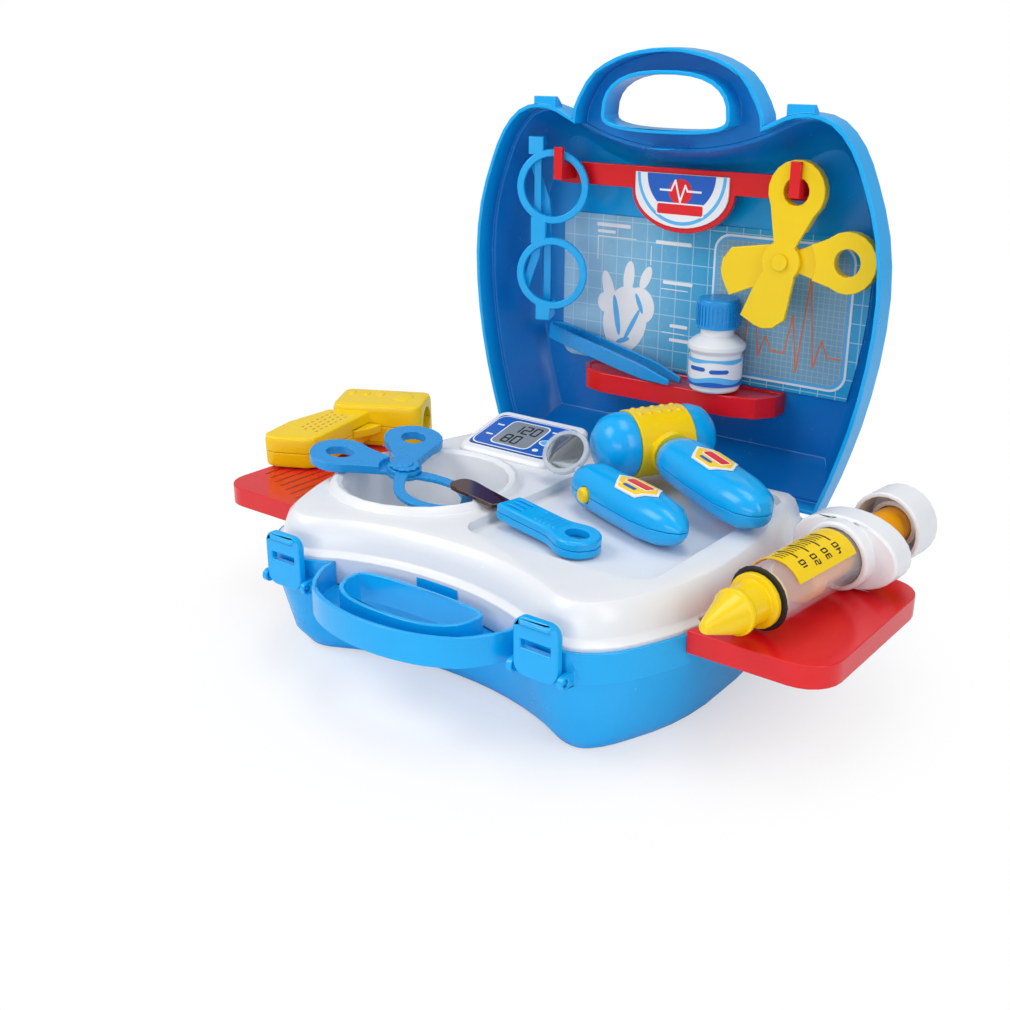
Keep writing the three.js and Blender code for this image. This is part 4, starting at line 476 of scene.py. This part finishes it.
painted_shade_depth = math_node(tree, "MULTIPLY", painted_shade_depth, mark.outputs["Fac"])
aside = math_node(tree, "MULTIPLY_ADD", parts.outputs["Z"], 1, -painted_light_z)
aside = math_node(tree, "MULTIPLY", aside, aside)
aside = math_node(tree, "MULTIPLY_ADD", parts.outputs["X"], parts.outputs["X"], aside)
aside = span_node(tree, math_node(tree, "SQRT", aside), painted_light_inner, painted_light_outer)
painted_light_mask = math_node(tree, "SUBTRACT", 1, aside)
on_floor = span_node(tree, parts.outputs["Y"], near_floor_y, floor_y)
painted_light_mask = math_node(tree, "MULTIPLY", painted_light_mask, on_floor)
hollow = mix_node(tree, painted_light_mask, painted_shade_colour, painted_light_colour)
tree.links.new(mix_node(tree, painted_shade_depth, rim_blue, hollow), skin_node.inputs["Colour"])
lid_mesh = mouldings["lid_shell"].data
inside_marks(lid_mesh)
lid_mesh.materials[0] = hollow_painted_shading
print("lid hollow coloured over", len(lid_mesh.polygons), "faces")

# %% [markdown]
# The tools lie turned on the tray, so what is printed or moulded on them is drawn in each tool's
# own frame, in millimetres, and then carried to its place.
# %% Frames
def box_mm(node):
    """The lowest and highest corner of a solid's box, in millimetres."""
    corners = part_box(node)
    return np.array(corners[0]) * 1000, np.array(corners[1]) * 1000


def turned(place_mm, turn_deg):
    """A function that carries points in millimetres from a tool's frame to the case's frame in
    metres. The turns are about X, then Y, then Z."""
    a, b, c = np.radians(turn_deg)
    about_x = np.array([[1, 0, 0], [0, np.cos(a), -np.sin(a)], [0, np.sin(a), np.cos(a)]])
    about_y = np.array([[np.cos(b), 0, np.sin(b)], [0, 1, 0], [-np.sin(b), 0, np.cos(b)]])
    about_z = np.array([[np.cos(c), -np.sin(c), 0], [np.sin(c), np.cos(c), 0], [0, 0, 1]])
    turn = about_z @ about_y @ about_x
    return lambda p: (p @ turn.T + np.array(place_mm, float)) / 1000


def on_front(y_mm):
    """A function that lays a drawing on a wall that looks to the front. The drawing has x, height
    and rise towards the viewer."""
    return lambda p: np.stack([p[:, 0], y_mm - p[:, 2], p[:, 1]], 1) / 1000


tray_low, tray_high = box_mm("tray")
print("tray from", tray_low.round(1), "to", tray_high.round(1), "mm")

# %% [markdown]
# A print is thinner than a sheet of paper, but it still has an edge. It is made as a closed slab
# with a flat top, so that it stays a real piece when the object is exported, and not only a
# colour in a material.
# %% Slabs
def placed(name, mesh, material, body):
    """Links a mesh as a piece that rides on a body and takes its slot from the material."""
    mesh.materials.append(material)
    piece = bpy.data.objects.new(name, mesh)
    scene.collection.objects.link(piece)
    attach(piece, body)
    return piece


def slabs(name, outlines, carry, material, body, low, high):
    """Thin closed slabs with the given outlines, from low to high above the surface they lie on.
    Each outline is a ring of points that runs anticlockwise, and carry takes all points to the
    case's frame. Neighbours differ by a hundredth of a millimetre in height, so that no two tops
    lie in one plane."""
    points, faces, start = [], [], 0
    for spot, outline in enumerate(outlines):
        ring = np.asarray(outline, float)
        n = len(ring)
        points.append(np.column_stack([ring, np.full(n, low)]))
        points.append(np.column_stack([ring, np.full(n, high + 0.01 * (spot % 7))]))
        i = np.arange(n)
        j = (i + 1) % n
        faces.append(list(range(start + n - 1, start - 1, -1)))
        faces.append(list(range(start + n, start + 2 * n)))
        faces.extend(np.stack([start + i, start + j, start + n + j, start + n + i], 1).tolist())
        start += 2 * n
    mesh = bpy.data.meshes.new(name)
    mesh.from_pydata(carry(np.concatenate(points)).tolist(), [], faces)
    mesh.update()
    return placed(name, mesh, material, body)


print("a slab over n corners has 2 n points and n + 2 faces")

# %% [markdown]
# A flat slab would cut through a round handle or stand off it. A draped patch has rows and
# columns of points inside its outline, and each of them is carried to the curved surface, so the
# patch bends with it.
# %% Draped patches
def ring_quads(rings, steps):
    """Corner numbers of the quads between neighbouring rings, where each ring closes on itself."""
    i, j = np.meshgrid(np.arange(rings), np.arange(steps), indexing="ij")
    i, j = i.ravel(), j.ravel()
    m = (j + 1) % steps
    return np.stack([i * steps + j, i * steps + m, (i + 1) * steps + m, (i + 1) * steps + j], 1)


def draped(name, outlines, carry, material, body, low, high, columns, rows):
    """Thin closed patches that follow a curved surface. Each outline has one lower and one upper
    edge over every x, and rows of points between them are carried to the surface."""
    points, faces, start = [], [], 0
    around = 2 * (rows + 1)
    quads = ring_quads(columns, around)
    for outline in outlines:
        a = np.asarray(outline, float)
        b = np.roll(a, -1, axis=0)
        x = np.linspace(a[:, 0].min(), a[:, 0].max(), columns + 1)
        step = np.where(np.abs(b[:, 0] - a[:, 0]) < 1e-9, 1, b[:, 0] - a[:, 0])
        y = a[:, 1] + (x[:, None] - a[:, 0]) / step * (b[:, 1] - a[:, 1])
        first, last = np.minimum(a, b)[:, 0], np.maximum(a, b)[:, 0]
        spans = (x[:, None] > first - 1e-6) & (x[:, None] < last + 1e-6)
        y_low = np.where(spans, y, np.inf).min(1)
        y_high = np.where(spans, y, -np.inf).max(1)
        share = np.linspace(0, 1, rows + 1)
        across = y_low[:, None] + share * (y_high - y_low)[:, None]
        across = np.concatenate([across, across[:, ::-1]], 1)
        height = np.concatenate([np.full(rows + 1, low), np.full(rows + 1, high)])
        along = np.repeat(x[:, None], around, 1)
        height = np.broadcast_to(height, across.shape)
        points.append(np.stack([along, across, height], -1).reshape(-1, 3))
        faces.extend((quads + start).tolist())
        faces.append(list(range(start + around - 1, start - 1, -1)))
        faces.append(list(range(start + columns * around, start + (columns + 1) * around)))
        start += (columns + 1) * around
    mesh = bpy.data.meshes.new(name)
    mesh.from_pydata(carry(np.concatenate(points)).tolist(), [], faces)
    mesh.update()
    return placed(name, mesh, material, body)


print("a patch of 16 columns and 6 rows has", len(ring_quads(16, 2 * (6 + 1))), "quads round it")

# %% [markdown]
# Most prints are built from three outlines: a rectangle with rounded corners, an ellipse, and a
# line of a given width along a chain of points.
# %% Outlines
def box_ring(x, y, width, height, corner=0.0, turn=0.0, steps=4):
    """A rectangle about x, y with rounded corners, turned by an angle in degrees."""
    corner = min(corner, width / 2, height / 2)
    a = np.concatenate([np.linspace(q, q + 90, steps if corner else 1) for q in (0, 90, 180, 270)])
    sx = np.repeat([1, -1, -1, 1], steps if corner else 1) * (width / 2 - corner)
    sy = np.repeat([1, 1, -1, -1], steps if corner else 1) * (height / 2 - corner)
    a = np.radians(a)
    ring = np.stack([sx + corner * np.cos(a), sy + corner * np.sin(a)], 1)
    c, s = math.cos(math.radians(turn)), math.sin(math.radians(turn))
    return ring @ np.array([[c, s], [-s, c]]) + [x, y]


def oval(x, y, width, height, turn=0.0, steps=28):
    """An ellipse about x, y, turned by an angle in degrees."""
    a = np.linspace(0, 2 * np.pi, steps, endpoint=False)
    ring = np.stack([width / 2 * np.cos(a), height / 2 * np.sin(a)], 1)
    c, s = math.cos(math.radians(turn)), math.sin(math.radians(turn))
    return ring @ np.array([[c, s], [-s, c]]) + [x, y]


def stroke(points, width):
    """One thin box for each part of a chain of points, each a little longer than its part."""
    rings = []
    for (x0, y0), (x1, y1) in zip(points[:-1], points[1:]):
        long = math.hypot(x1 - x0, y1 - y0) + width * 0.8
        turn = math.degrees(math.atan2(y1 - y0, x1 - x0))
        rings.append(box_ring((x0 + x1) / 2, (y0 + y1) / 2, long, width, turn=turn))
    return rings


print("a rounded rectangle has", len(box_ring(0, 0, 10, 5, 1)), "corners")

# %% [markdown]
# The display and the syringe show numerals made of seven bars, as on a pocket calculator. A table
# says which bars each numeral lights, and for each bar its middle across and up, its length as a
# share of the numeral's width or height, and whether it stands upright.
# %% Bar numerals
SEGMENTS = {"0": "abcdef", "1": "bc", "2": "abged", "3": "abgcd", "4": "fgbc", "8": "abcdefg"}
BARS = {
    "a": (0, 1, 0.8, 0), "g": (0, 0.5, 0.8, 0), "d": (0, 0, 0.8, 0),
    "f": (-0.5, 0.75, 0.4, 1), "b": (0.5, 0.75, 0.4, 1),
    "e": (-0.5, 0.25, 0.4, 1), "c": (0.5, 0.25, 0.4, 1),
}


def digits(text, x, y, width, height, weight):
    """The bars of seven-bar numerals from x, y upwards, each of the given width and height."""
    rings = []
    for spot, figure in enumerate(text):
        middle = x + spot * (width + 2.2 * weight) + width / 2
        for bar in SEGMENTS[figure]:
            across, up, long, upright = BARS[bar]
            if upright:
                size = (weight, long * height + weight * 0.4)
            else:
                size = (long * width + weight * 0.8, weight)
            rings.append(box_ring(middle + across * width, y + up * height, *size))
    return rings


print("numerals known:", *SEGMENTS)

# %% [markdown]
# The blood pressure dial is a printed plate set in the tray's raised hump. It has a grey display
# with dark bar numerals, short white lines beside the display, and an oval button with a small
# lamp at its right. Each layer of print is a slab a few hundredths of a millimetre higher than
# the one under it, which keeps its edge sharp at any distance.
# %% Dial
def printed(name, colour, slot):
    """Printing ink on a sticker: a little duller than the plastic round it."""
    return finish(name, colour, 0.35, coat=0.1, slot=slot)


dial_place, dial_lean_deg = (-57.5, 60.5, 84.5), 13.45
on_dial = turned(dial_place, (dial_lean_deg, 0, 0))
grey = finish("display_grey", (0.24, 0.27, 0.29), 0.18, slot="label")
ink = finish("ink", (0.01, 0.011, 0.013), 0.4, coat=0.0, slot="rubber")
print_white = printed("print_white", (0.84, 0.85, 0.86), "white")
print_blue = printed("print_blue", (0.01, 0.11, 0.5), "deep_blue")
print_red = printed("print_red", (0.75, 0.01, 0.015), "red")
print_yellow = printed("print_yellow", (0.93, 0.62, 0.004), "yellow")
print_sky = printed("print_sky", (0.1, 0.45, 0.82), "pale_blue")
slabs("dial_border", [box_ring(0, 0, 55.6, 34, 5.5)], on_dial, print_white, "tray", 0.3, 0.36)
slabs("dial_field", [box_ring(0, 0, 54, 32.4, 5)], on_dial, print_blue, "tray", 0.3, 0.44)
slabs("dial_display_rim", [box_ring(-2, 0, 28.4, 27.4, 4)], on_dial, print_white, "tray", 0.3, 0.5)
slabs("dial_display", [box_ring(-2, 0, 26.6, 25.6, 3.4)], on_dial, grey, "tray", 0.3, 0.58)
slabs(
    "dial_numerals",
    digits("120", -9.6, 1.4, 4.2, 8, 1.1) + digits("80", -9.6, -10.2, 4.2, 8, 1.1),
    on_dial, ink, "tray", 0.5, 0.66,
)
slabs(
    "dial_marks",
    [box_ring(-21, 6, 5, 1.3, 0.4), box_ring(-21, -5.6, 5, 1.3, 0.4),
     box_ring(18.4, 9.5, 8, 1.2, 0.4), oval(18.8, -2.5, 10.5, 6.4), oval(17, -11.6, 4, 3)],
    on_dial, print_white, "tray", 0.3, 0.55,
)
slabs("dial_button", [oval(18.8, -2.5, 8.6, 4.7)], on_dial, print_sky, "tray", 0.3, 0.7)
print("dial drawn")

# %% [markdown]
# The badge hangs in the middle of the hook bar. Bands of white, sky blue and dark blue follow its
# drop shape, with a heart-beat line on a red disc and a red bar under it. Each band is the same
# half ellipse, drawn a little smaller than the one before.
# %% Badge
def drop_ring(middle, top, half, drop, steps=40):
    """Half an ellipse that hangs from a level top edge."""
    a = np.linspace(np.pi, 2 * np.pi, steps)
    return np.stack([middle + half * np.cos(a), top + drop * np.sin(a)], 1)


badge_low, badge_high = box_mm("badge_plate")
badge_top = badge_high[2] - 0.2
badge_half = badge_high[0]
badge_drop = badge_top - badge_low[2]
badge_face = on_front(badge_low[1])
for title, material, inset, high in (
    ("badge_white", print_white, 0.6, 0.06),
    ("badge_sky", print_sky, 1.4, 0.12),
    ("badge_band", print_white, 3.4, 0.18),
    ("badge_blue", print_blue, 8.0, 0.24),
):
    outline = drop_ring(0, badge_top, badge_half - inset, badge_drop - inset)
    slabs(title, [outline], badge_face, material, "lid", 0, high)
beat = [(-13, 222.5), (-6, 222.5), (-3.5, 228), (0, 216.5), (3, 225.5), (4.6, 222.5), (13, 222.5)]
bar_z = 212.2
bar_edge = box_ring(0, bar_z, 31, 7.2, 1.4)
slabs("badge_disc", [oval(0, 222, 15, 14)], badge_face, print_red, "lid", 0.1, 0.3)
slabs("badge_beat", stroke(beat, 1.1), badge_face, print_white, "lid", 0.1, 0.38)
slabs("badge_bar_edge", [bar_edge], badge_face, print_white, "lid", 0.1, 0.34)
slabs("badge_bar", [box_ring(0, bar_z, 29.4, 5.6, 1)], badge_face, print_red, "lid", 0.1, 0.42)
print("badge drawn")

# %% [markdown]
# The picture sheet behind the tools is printed like a screen: a fine white grid over blue, a pale
# rounded form with thin lines and short bars at the left, and at the right a framed grid with an
# orange trace. The grids are worked out in the material, because hundreds of lines would make a
# heavy mesh, and the larger marks are slabs.
# %% Picture sheet
def ruled(name, pale, colour, line_colour, pitch, width, slot):
    """A print with fine square ruling in x and z of the piece's own coordinates, over a soft change
    of shade from the pale colour at the left to the full colour. Pitch and width are in metres."""
    material = finish(name, colour, 0.25, slot=slot)
    tree = material.node_tree
    group = next(n for n in tree.nodes if n.type == "GROUP")
    parts = tree.nodes.new("ShaderNodeSeparateXYZ")
    tree.links.new(tree.nodes.new("ShaderNodeTexCoord").outputs["Object"], parts.inputs[0])
    steps = [math_node(tree, "WRAP", parts.outputs[axis], pitch, 0.0) for axis in ("X", "Z")]
    lines = [math_node(tree, "LESS_THAN", step, width) for step in steps]
    base = mix_node(tree, span_node(tree, parts.outputs["X"], -0.07, 0.02), pale, colour)
    lines = math_node(tree, "MULTIPLY", math_node(tree, "MAXIMUM", *lines), 0.5)
    tree.links.new(mix_node(tree, lines, base, line_colour), group.inputs["Colour"])
    return material


sheet_low, sheet_high = box_mm("lid_panel")
on_sheet = on_front(sheet_low[1])
mouldings["lid_panel"].data.materials[0] = ruled(
    "sheet_print", (0.3, 0.55, 0.72), (0.02, 0.36, 0.66), (0.6, 0.8, 0.9),
    0.0105, 0.0006, "pale_blue",
)
screen_grey = (0.2, 0.4, 0.55)
screen_print = ruled(
    "screen_print", screen_grey, screen_grey, (0.5, 0.72, 0.8), 0.0032, 0.0003, "pale_blue"
)
screen_middle = (57, 158.5)
for title, material, width, height, corner, high in (
    ("screen_frame", print_white, 86, 81, 10, 0.1),
    ("screen_band", print_sky, 83.4, 78.4, 9, 0.16),
    ("screen_grid", screen_print, 80, 75, 8, 0.22),
):
    outline = box_ring(*screen_middle, width, height, corner, steps=8)
    slabs(title, [outline], on_sheet, material, "lid", 0, high)
trace = [
    (19, 136), (28, 136), (32, 150), (36, 128), (41, 176), (46, 132), (50, 144), (54, 136),
    (62, 136), (66, 158), (70, 126), (75, 180), (80, 130), (84, 146), (88, 137), (96, 137),
]
print_orange = printed("print_orange", (0.82, 0.2, 0.08), "orange")
slabs("screen_trace", stroke(trace, 0.9), on_sheet, print_orange, "lid", 0.1, 0.3)
slabs(
    "sheet_form",
    [oval(-45, 141, 31, 42, -14), oval(-34, 151, 19, 22, 20), oval(-57, 157, 8, 26, 16),
     oval(-43, 167, 7.5, 20, -6), oval(-31, 168, 6.5, 15, -24), oval(-60, 150, 10, 12, 0)],
    on_sheet, print_white, "lid", 0, 0.1,
)
slabs(
    "sheet_form_shade",
    [oval(-51, 143, 4, 25, 10), oval(-40, 138, 3, 24, -28), oval(-35, 152, 3, 13, 24),
     oval(-46, 128, 10, 3, 20)],
    on_sheet, print_sky, "lid", 0, 0.14,
)
slabs(
    "sheet_pointers",
    stroke([(-39, 190), (-66, 190), (-66, 176)], 0.5) + stroke([(-28, 187), (-28, 176)], 0.5)
    + stroke([(-20, 163), (-2, 163)], 0.5) + stroke([(-18, 137), (-3, 137)], 0.5),
    on_sheet, print_white, "lid", 0, 0.12,
)
slabs(
    "sheet_bars",
    [box_ring(-55, 197, 24, 2.2, 0.6), box_ring(-60, 193, 13, 1.8, 0.6),
     box_ring(-13, 190, 24, 2.2, 0.6), box_ring(-9, 167, 20, 2, 0.6),
     box_ring(-7, 141.5, 12, 2, 0.6), box_ring(-6, 133, 14, 2, 0.6)],
    on_sheet, print_white, "lid", 0, 0.12,
)
print("sheet drawn on a box from", sheet_low.round(), "to", sheet_high.round(), "mm")

# %% [markdown]
# The hammer and the mirror each carry a sticker on their handle: a yellow shield inside a white
# border, a red bar with a white edge and a small blue bar under it. The handle's sections are
# squared ovals, so a print finds its height from the flat between two corners of that oval.
# %% Stickers
handle_corner_deg, handle_power = 18.0, 2.3


def on_handle(carry, sections, rise):
    """Lays a drawing on the top of a handle. The sections are [x, half width, half height]. Corner
    k of a section lies at k times the corner angle of a squared oval of the handle's power, and
    heights run straight between corners and between sections."""
    table = np.array(sections, float)
    angle = np.radians(handle_corner_deg * np.arange(11))[::-1]
    unit_y = np.sign(np.cos(angle)) * np.abs(np.cos(angle)) ** (2 / handle_power)
    unit_z = np.abs(np.sin(angle)) ** (2 / handle_power)

    def laid(p):
        half_width = np.interp(p[:, 0], table[:, 0], table[:, 1]) + rise
        half_height = np.interp(p[:, 0], table[:, 0], table[:, 2]) + rise
        z = half_height * np.interp(p[:, 1] / half_width, unit_y, unit_z)
        return carry(np.stack([p[:, 0], p[:, 1], z + p[:, 2]], 1))
    return laid


def shield(x, long, wide):
    """A six-sided outline with its points at both ends."""
    return [
        (x - long, 0), (x - long / 2, -wide), (x + long / 2, -wide),
        (x + long, 0), (x + long / 2, wide), (x - long / 2, wide),
    ]


def sticker(name, carry, x, body):
    """A yellow shield, a red bar with a white edge and a small blue bar on the label about x."""
    sunk = -0.02
    for title, material, outline, high, columns, rows in (
        ("_field", print_yellow, shield(x, 15.2, 7.4), 0.05, 30, 12),
        ("_edge", print_white, box_ring(x + 0.2, 1.0, 19.6, 6.4, 1.0), 0.09, 20, 8),
        ("_bar", print_red, box_ring(x + 0.2, 1.0, 18.2, 5.0, 0.8), 0.13, 20, 8),
        ("_tick", print_blue, box_ring(x - 1, -4.6, 10.6, 2.0, 0.5), 0.1, 12, 4),
    ):
        draped(name + title, [outline], carry, material, body, sunk, high, columns, rows)


hammer_sections = [
    (22.3, 9, 8.5), (26, 13, 11), (35, 15.5, 12), (60, 16, 12),
    (85, 15, 12), (98, 12, 10.5), (105, 6.5, 6.5), (107, 2.5, 2.5),
]
mirror_sections = [
    (0, 7, 7), (3, 10.5, 10), (10, 12.5, 12), (35, 13, 12),
    (60, 13, 12), (74, 11, 10.5), (82, 7, 7.5), (87, 2.5, 2.5),
]
label_rise = 0.9
hammer_label_x, mirror_label_x = 61, 49
on_hammer = turned((24.3, 71, 95.3), (0, 3.75, -28.6))
on_mirror = turned((13, 22, 83.3), (0, 0, -23))
hammer_top = on_handle(on_hammer, hammer_sections, label_rise)
mirror_top = on_handle(on_mirror, mirror_sections, label_rise)
sticker("hammer_sticker", hammer_top, hammer_label_x, "hammer")
sticker("mirror_sticker", mirror_top, mirror_label_x, "mirror")
print("stickers drawn")

# %% [markdown]
# The syringe has a scale printed on its yellow sleeve: long strokes at each ten with numerals
# beside them, and three short strokes before each. The print is drawn flat, with one side along
# the syringe, and wrapped round the sleeve.
# %% Syringe scale
at_syringe = turned((141.5, -77.4, 73.8), (0, -2.36, 81.7))
barrel_radius = 14.8


def on_barrel(p):
    """Wraps a drawing round the syringe: along its axis, round its top, and out from the sleeve."""
    angle = p[:, 1] / barrel_radius
    out_to = barrel_radius + p[:, 2]
    return at_syringe(np.stack([p[:, 0], out_to * np.sin(angle), out_to * np.cos(angle)], 1))


tens = [59, 67.5, 76, 84.5]
strokes = [box_ring(x, 0.5, 0.9, 11) for x in tens]
strokes += [box_ring(x - step * 2.1, 1.25, 0.45, 5.5) for x in tens for step in (1, 2, 3)]
draped("syringe_strokes", strokes, on_barrel, ink, "syringe", 0.0, 0.1, 1, 10)
figures = []
for x, text in zip(tens, ("10", "20", "30", "40")):
    for ring in digits(text, 0, 0, 1.9, 3.2, 0.62):
        figures.append(np.stack([x + 1.2 - ring[:, 1], ring[:, 0] - 12.2], 1))
slabs("syringe_figures", figures, on_barrel, ink, "syringe", 0.0, 0.1)
print(len(strokes), "strokes and", len(figures), "bars of numerals")

# %% [markdown]
# The bottle's sleeve is white with waves of blue at its foot and top and short bars between them.
# Its screw cap has upright ribs for the fingers. Both are drawn flat and then wrapped round the
# bottle's axis.
# %% Bottle
bottle_x, bottle_y = 28.5, 128.8
sleeve_radius = 15.5


def round_bottle(radius):
    """Wraps a drawing round the bottle's axis, starting at the side that faces the front."""
    def carry(p):
        angle = p[:, 0] / radius
        out_to = radius + p[:, 2]
        x = bottle_x + out_to * np.sin(angle)
        y = bottle_y - out_to * np.cos(angle)
        return np.stack([x, y, p[:, 1]], 1) / 1000
    return carry


def wave(low_z, high_z, swing_mm, turns, top):
    """A band round the sleeve with one wavy edge, a sine of the given swing. The wavy edge is the
    lower one of a band at the sleeve's top and the upper one of a band at its foot."""
    reach = np.pi * sleeve_radius * 0.98
    x = np.linspace(-reach, reach, 73)
    wavy = swing_mm * np.sin(x / reach * np.pi * turns)
    lower = low_z + (wavy if top else 0 * x)
    upper = high_z + (0 * x if top else wavy)
    return np.vstack([np.stack([x, lower], 1), np.stack([x, upper], 1)[::-1]])


on_sleeve = round_bottle(sleeve_radius)
foot_z = 117.6
foot_wave = wave(foot_z, 122.4, 1.2, 3, False)
top_wave = wave(131.2, 133.2, 0.6, 4, True)
dark_wave = wave(foot_z, 119.8, 0.8, 4, False)
sleeve_bars = [box_ring(-3.5, 127.6, 11, 2.4, 0.9), box_ring(10, 126.6, 11.5, 2.4, 0.9)]
for title, outlines, material, high, columns, rows in (
    ("bottle_wave_sky", [foot_wave, top_wave], print_sky, 0.05, 72, 1),
    ("bottle_wave_blue", [dark_wave], print_blue, 0.09, 72, 1),
    ("bottle_bars", sleeve_bars, print_blue, 0.07, 10, 2),
):
    draped(title, outlines, on_sleeve, material, "bottle", 0, high, columns, rows)
cap_low, cap_high = box_mm("bottle_cap")
cap_radius = (cap_high[0] - cap_low[0]) / 2
rib_count = 34
rib_pitch = 2 * math.pi * cap_radius / rib_count
rib_z = (cap_low[2] + cap_high[2]) / 2 - 0.6
rib_length = (cap_high[2] - cap_low[2]) * 0.72
slabs(
    "cap_ribs",
    [box_ring(k * rib_pitch, rib_z, 0.95, rib_length, 0.4) for k in range(rib_count)],
    round_bottle(cap_radius), finishes["tool_blue"], "bottle_cap", -0.2, 0.45,
)
print("bottle has", rib_count, "ribs on its cap")

# %% [markdown]
# The thermometer gun's grip has rows of small oval dimples for the fingers, and its barrel has
# three low bumps and one large oval pad as buttons. The dimples are so shallow that they are not
# cut: each is a darker oval of painted shade, standing in for the shade in the hollow. The bumps
# are real domes, because they catch the light.
# %% Gun
def mounds(name, spots, carry, material, body, base, rise):
    """Low domes on a flat top. Each spot is x, y, width, length and turn, and each dome is a
    quarter turn of an ellipse in height over an ellipse in plan."""
    rows, columns = 5, 20
    u = np.linspace(0, np.pi / 2, rows)
    v = np.linspace(0, 2 * np.pi, columns, endpoint=False)
    points, faces, start = [], [], 0
    quads = ring_quads(rows - 1, columns)
    for x, y, width, long, turn in spots:
        c, s = math.cos(math.radians(turn)), math.sin(math.radians(turn))
        across = np.outer(np.cos(u) * width / 2, np.cos(v))
        along = np.outer(np.cos(u) * long / 2, np.sin(v))
        up = np.repeat((base + rise * np.sin(u))[:, None], columns, 1)
        dome = np.stack([x + c * across - s * along, y + s * across + c * along, up], -1)
        points.append(dome.reshape(-1, 3))
        faces.append(quads + start)
        start += rows * columns
    mesh = bpy.data.meshes.new(name)
    mesh.from_pydata(carry(np.concatenate(points)).tolist(), [], np.concatenate(faces).tolist())
    mesh.shade_smooth()
    return placed(name, mesh, material, body)


on_gun = turned((-172, 59, 75.05), (4.2, 0, 27))
grip_back, grip_down = 18.0, 48.0
grip_lean = math.degrees(math.atan2(grip_down, grip_back))
grip_way = np.array([-grip_back, -grip_down]) / math.hypot(grip_back, grip_down)
grip_side = np.array([-grip_way[1], grip_way[0]])
dimple_start, dimple_pitch, dimple_row = np.array([-17.5, -24.0]), 4.6, 4.2
dimple_spots = []
for row in range(4):
    for step in range(7):
        down = dimple_pitch * (step + 0.5 * (row % 2))
        spot = dimple_start + grip_way * down + grip_side * (row * dimple_row - 7.5)
        dimple_spots.append(oval(*spot, 2.6, 1.2, grip_lean, 12))
# Painted shade: a darker yellow oval where each dimple's hollow would be in shade.
painted_dimple_shade = finish("dimple_painted_shade", (0.55, 0.3, 0.002), 0.4, slot="yellow")
slabs("gun_painted_dimple_shade", dimple_spots, on_gun, painted_dimple_shade, "gun", 9.9, 10.03)
mounds(
    "gun_bumps",
    [(-19, 6, 5.2, 8.5, 0), (-9.5, 6, 5.2, 8.5, 0), (0, 6, 5.2, 8.5, 0), (15.5, 3, 14, 17, 0)],
    on_gun, finishes["yellow"], "gun", 13.8, 1.1,
)
print(len(dimple_spots), "dimples on the grip")

# %% [markdown]
# The hammer's yellow sleeve has two rows of small round bumps along its top. They are the gun's
# low domes again, rolled a few degrees to either side of the sleeve's highest line.
# %% Hammer bumps
row_lean_deg, bump_pitch, bump_width, bump_count = 13.0, 6.0, 3.4, 5
for row, lean in (("near", -row_lean_deg), ("far", row_lean_deg)):
    rolled = turned((0, 0, 0), (0, lean, 0))
    mounds(
        f"hammer_bumps_{row}",
        [(0, bump_pitch * k - 12, bump_width, bump_width, 0) for k in range(bump_count)],
        lambda p, rolled=rolled: on_hammer(rolled(p) * 1000),
        finishes["yellow"], "hammer", 18.6, 1.0,
    )
print("sleeve has", 2 * bump_count, "bumps")

# %% [markdown]
# The left shelf has fine grooves along its top, which show as dark lines of shade. They are too
# fine to cut, so thin slabs of a darker red lie in their place as painted shade.
# %% Shelf grooves in painted shade
# Painted shade: the darker red stands in for the shade down in each groove.
painted_groove_shade = finish("groove_painted_shade", (0.3, 0.004, 0.006), 0.4, slot="red")
shelf_top_z, groove_pitch, groove_count = 60, 7.5, 7
flat_top = turned((0, 0, shelf_top_z), (0, 0, 0))
slabs(
    "shelf_painted_grooves",
    [box_ring(-135 - groove_pitch * k, -3 + 0.4 * k, 1.5, 92 - 5 * k, 0.7)
     for k in range(groove_count)],
    flat_top, painted_groove_shade, "shelf_left", -0.05, 0.04,
)
print("shelf has", groove_count, "grooves")
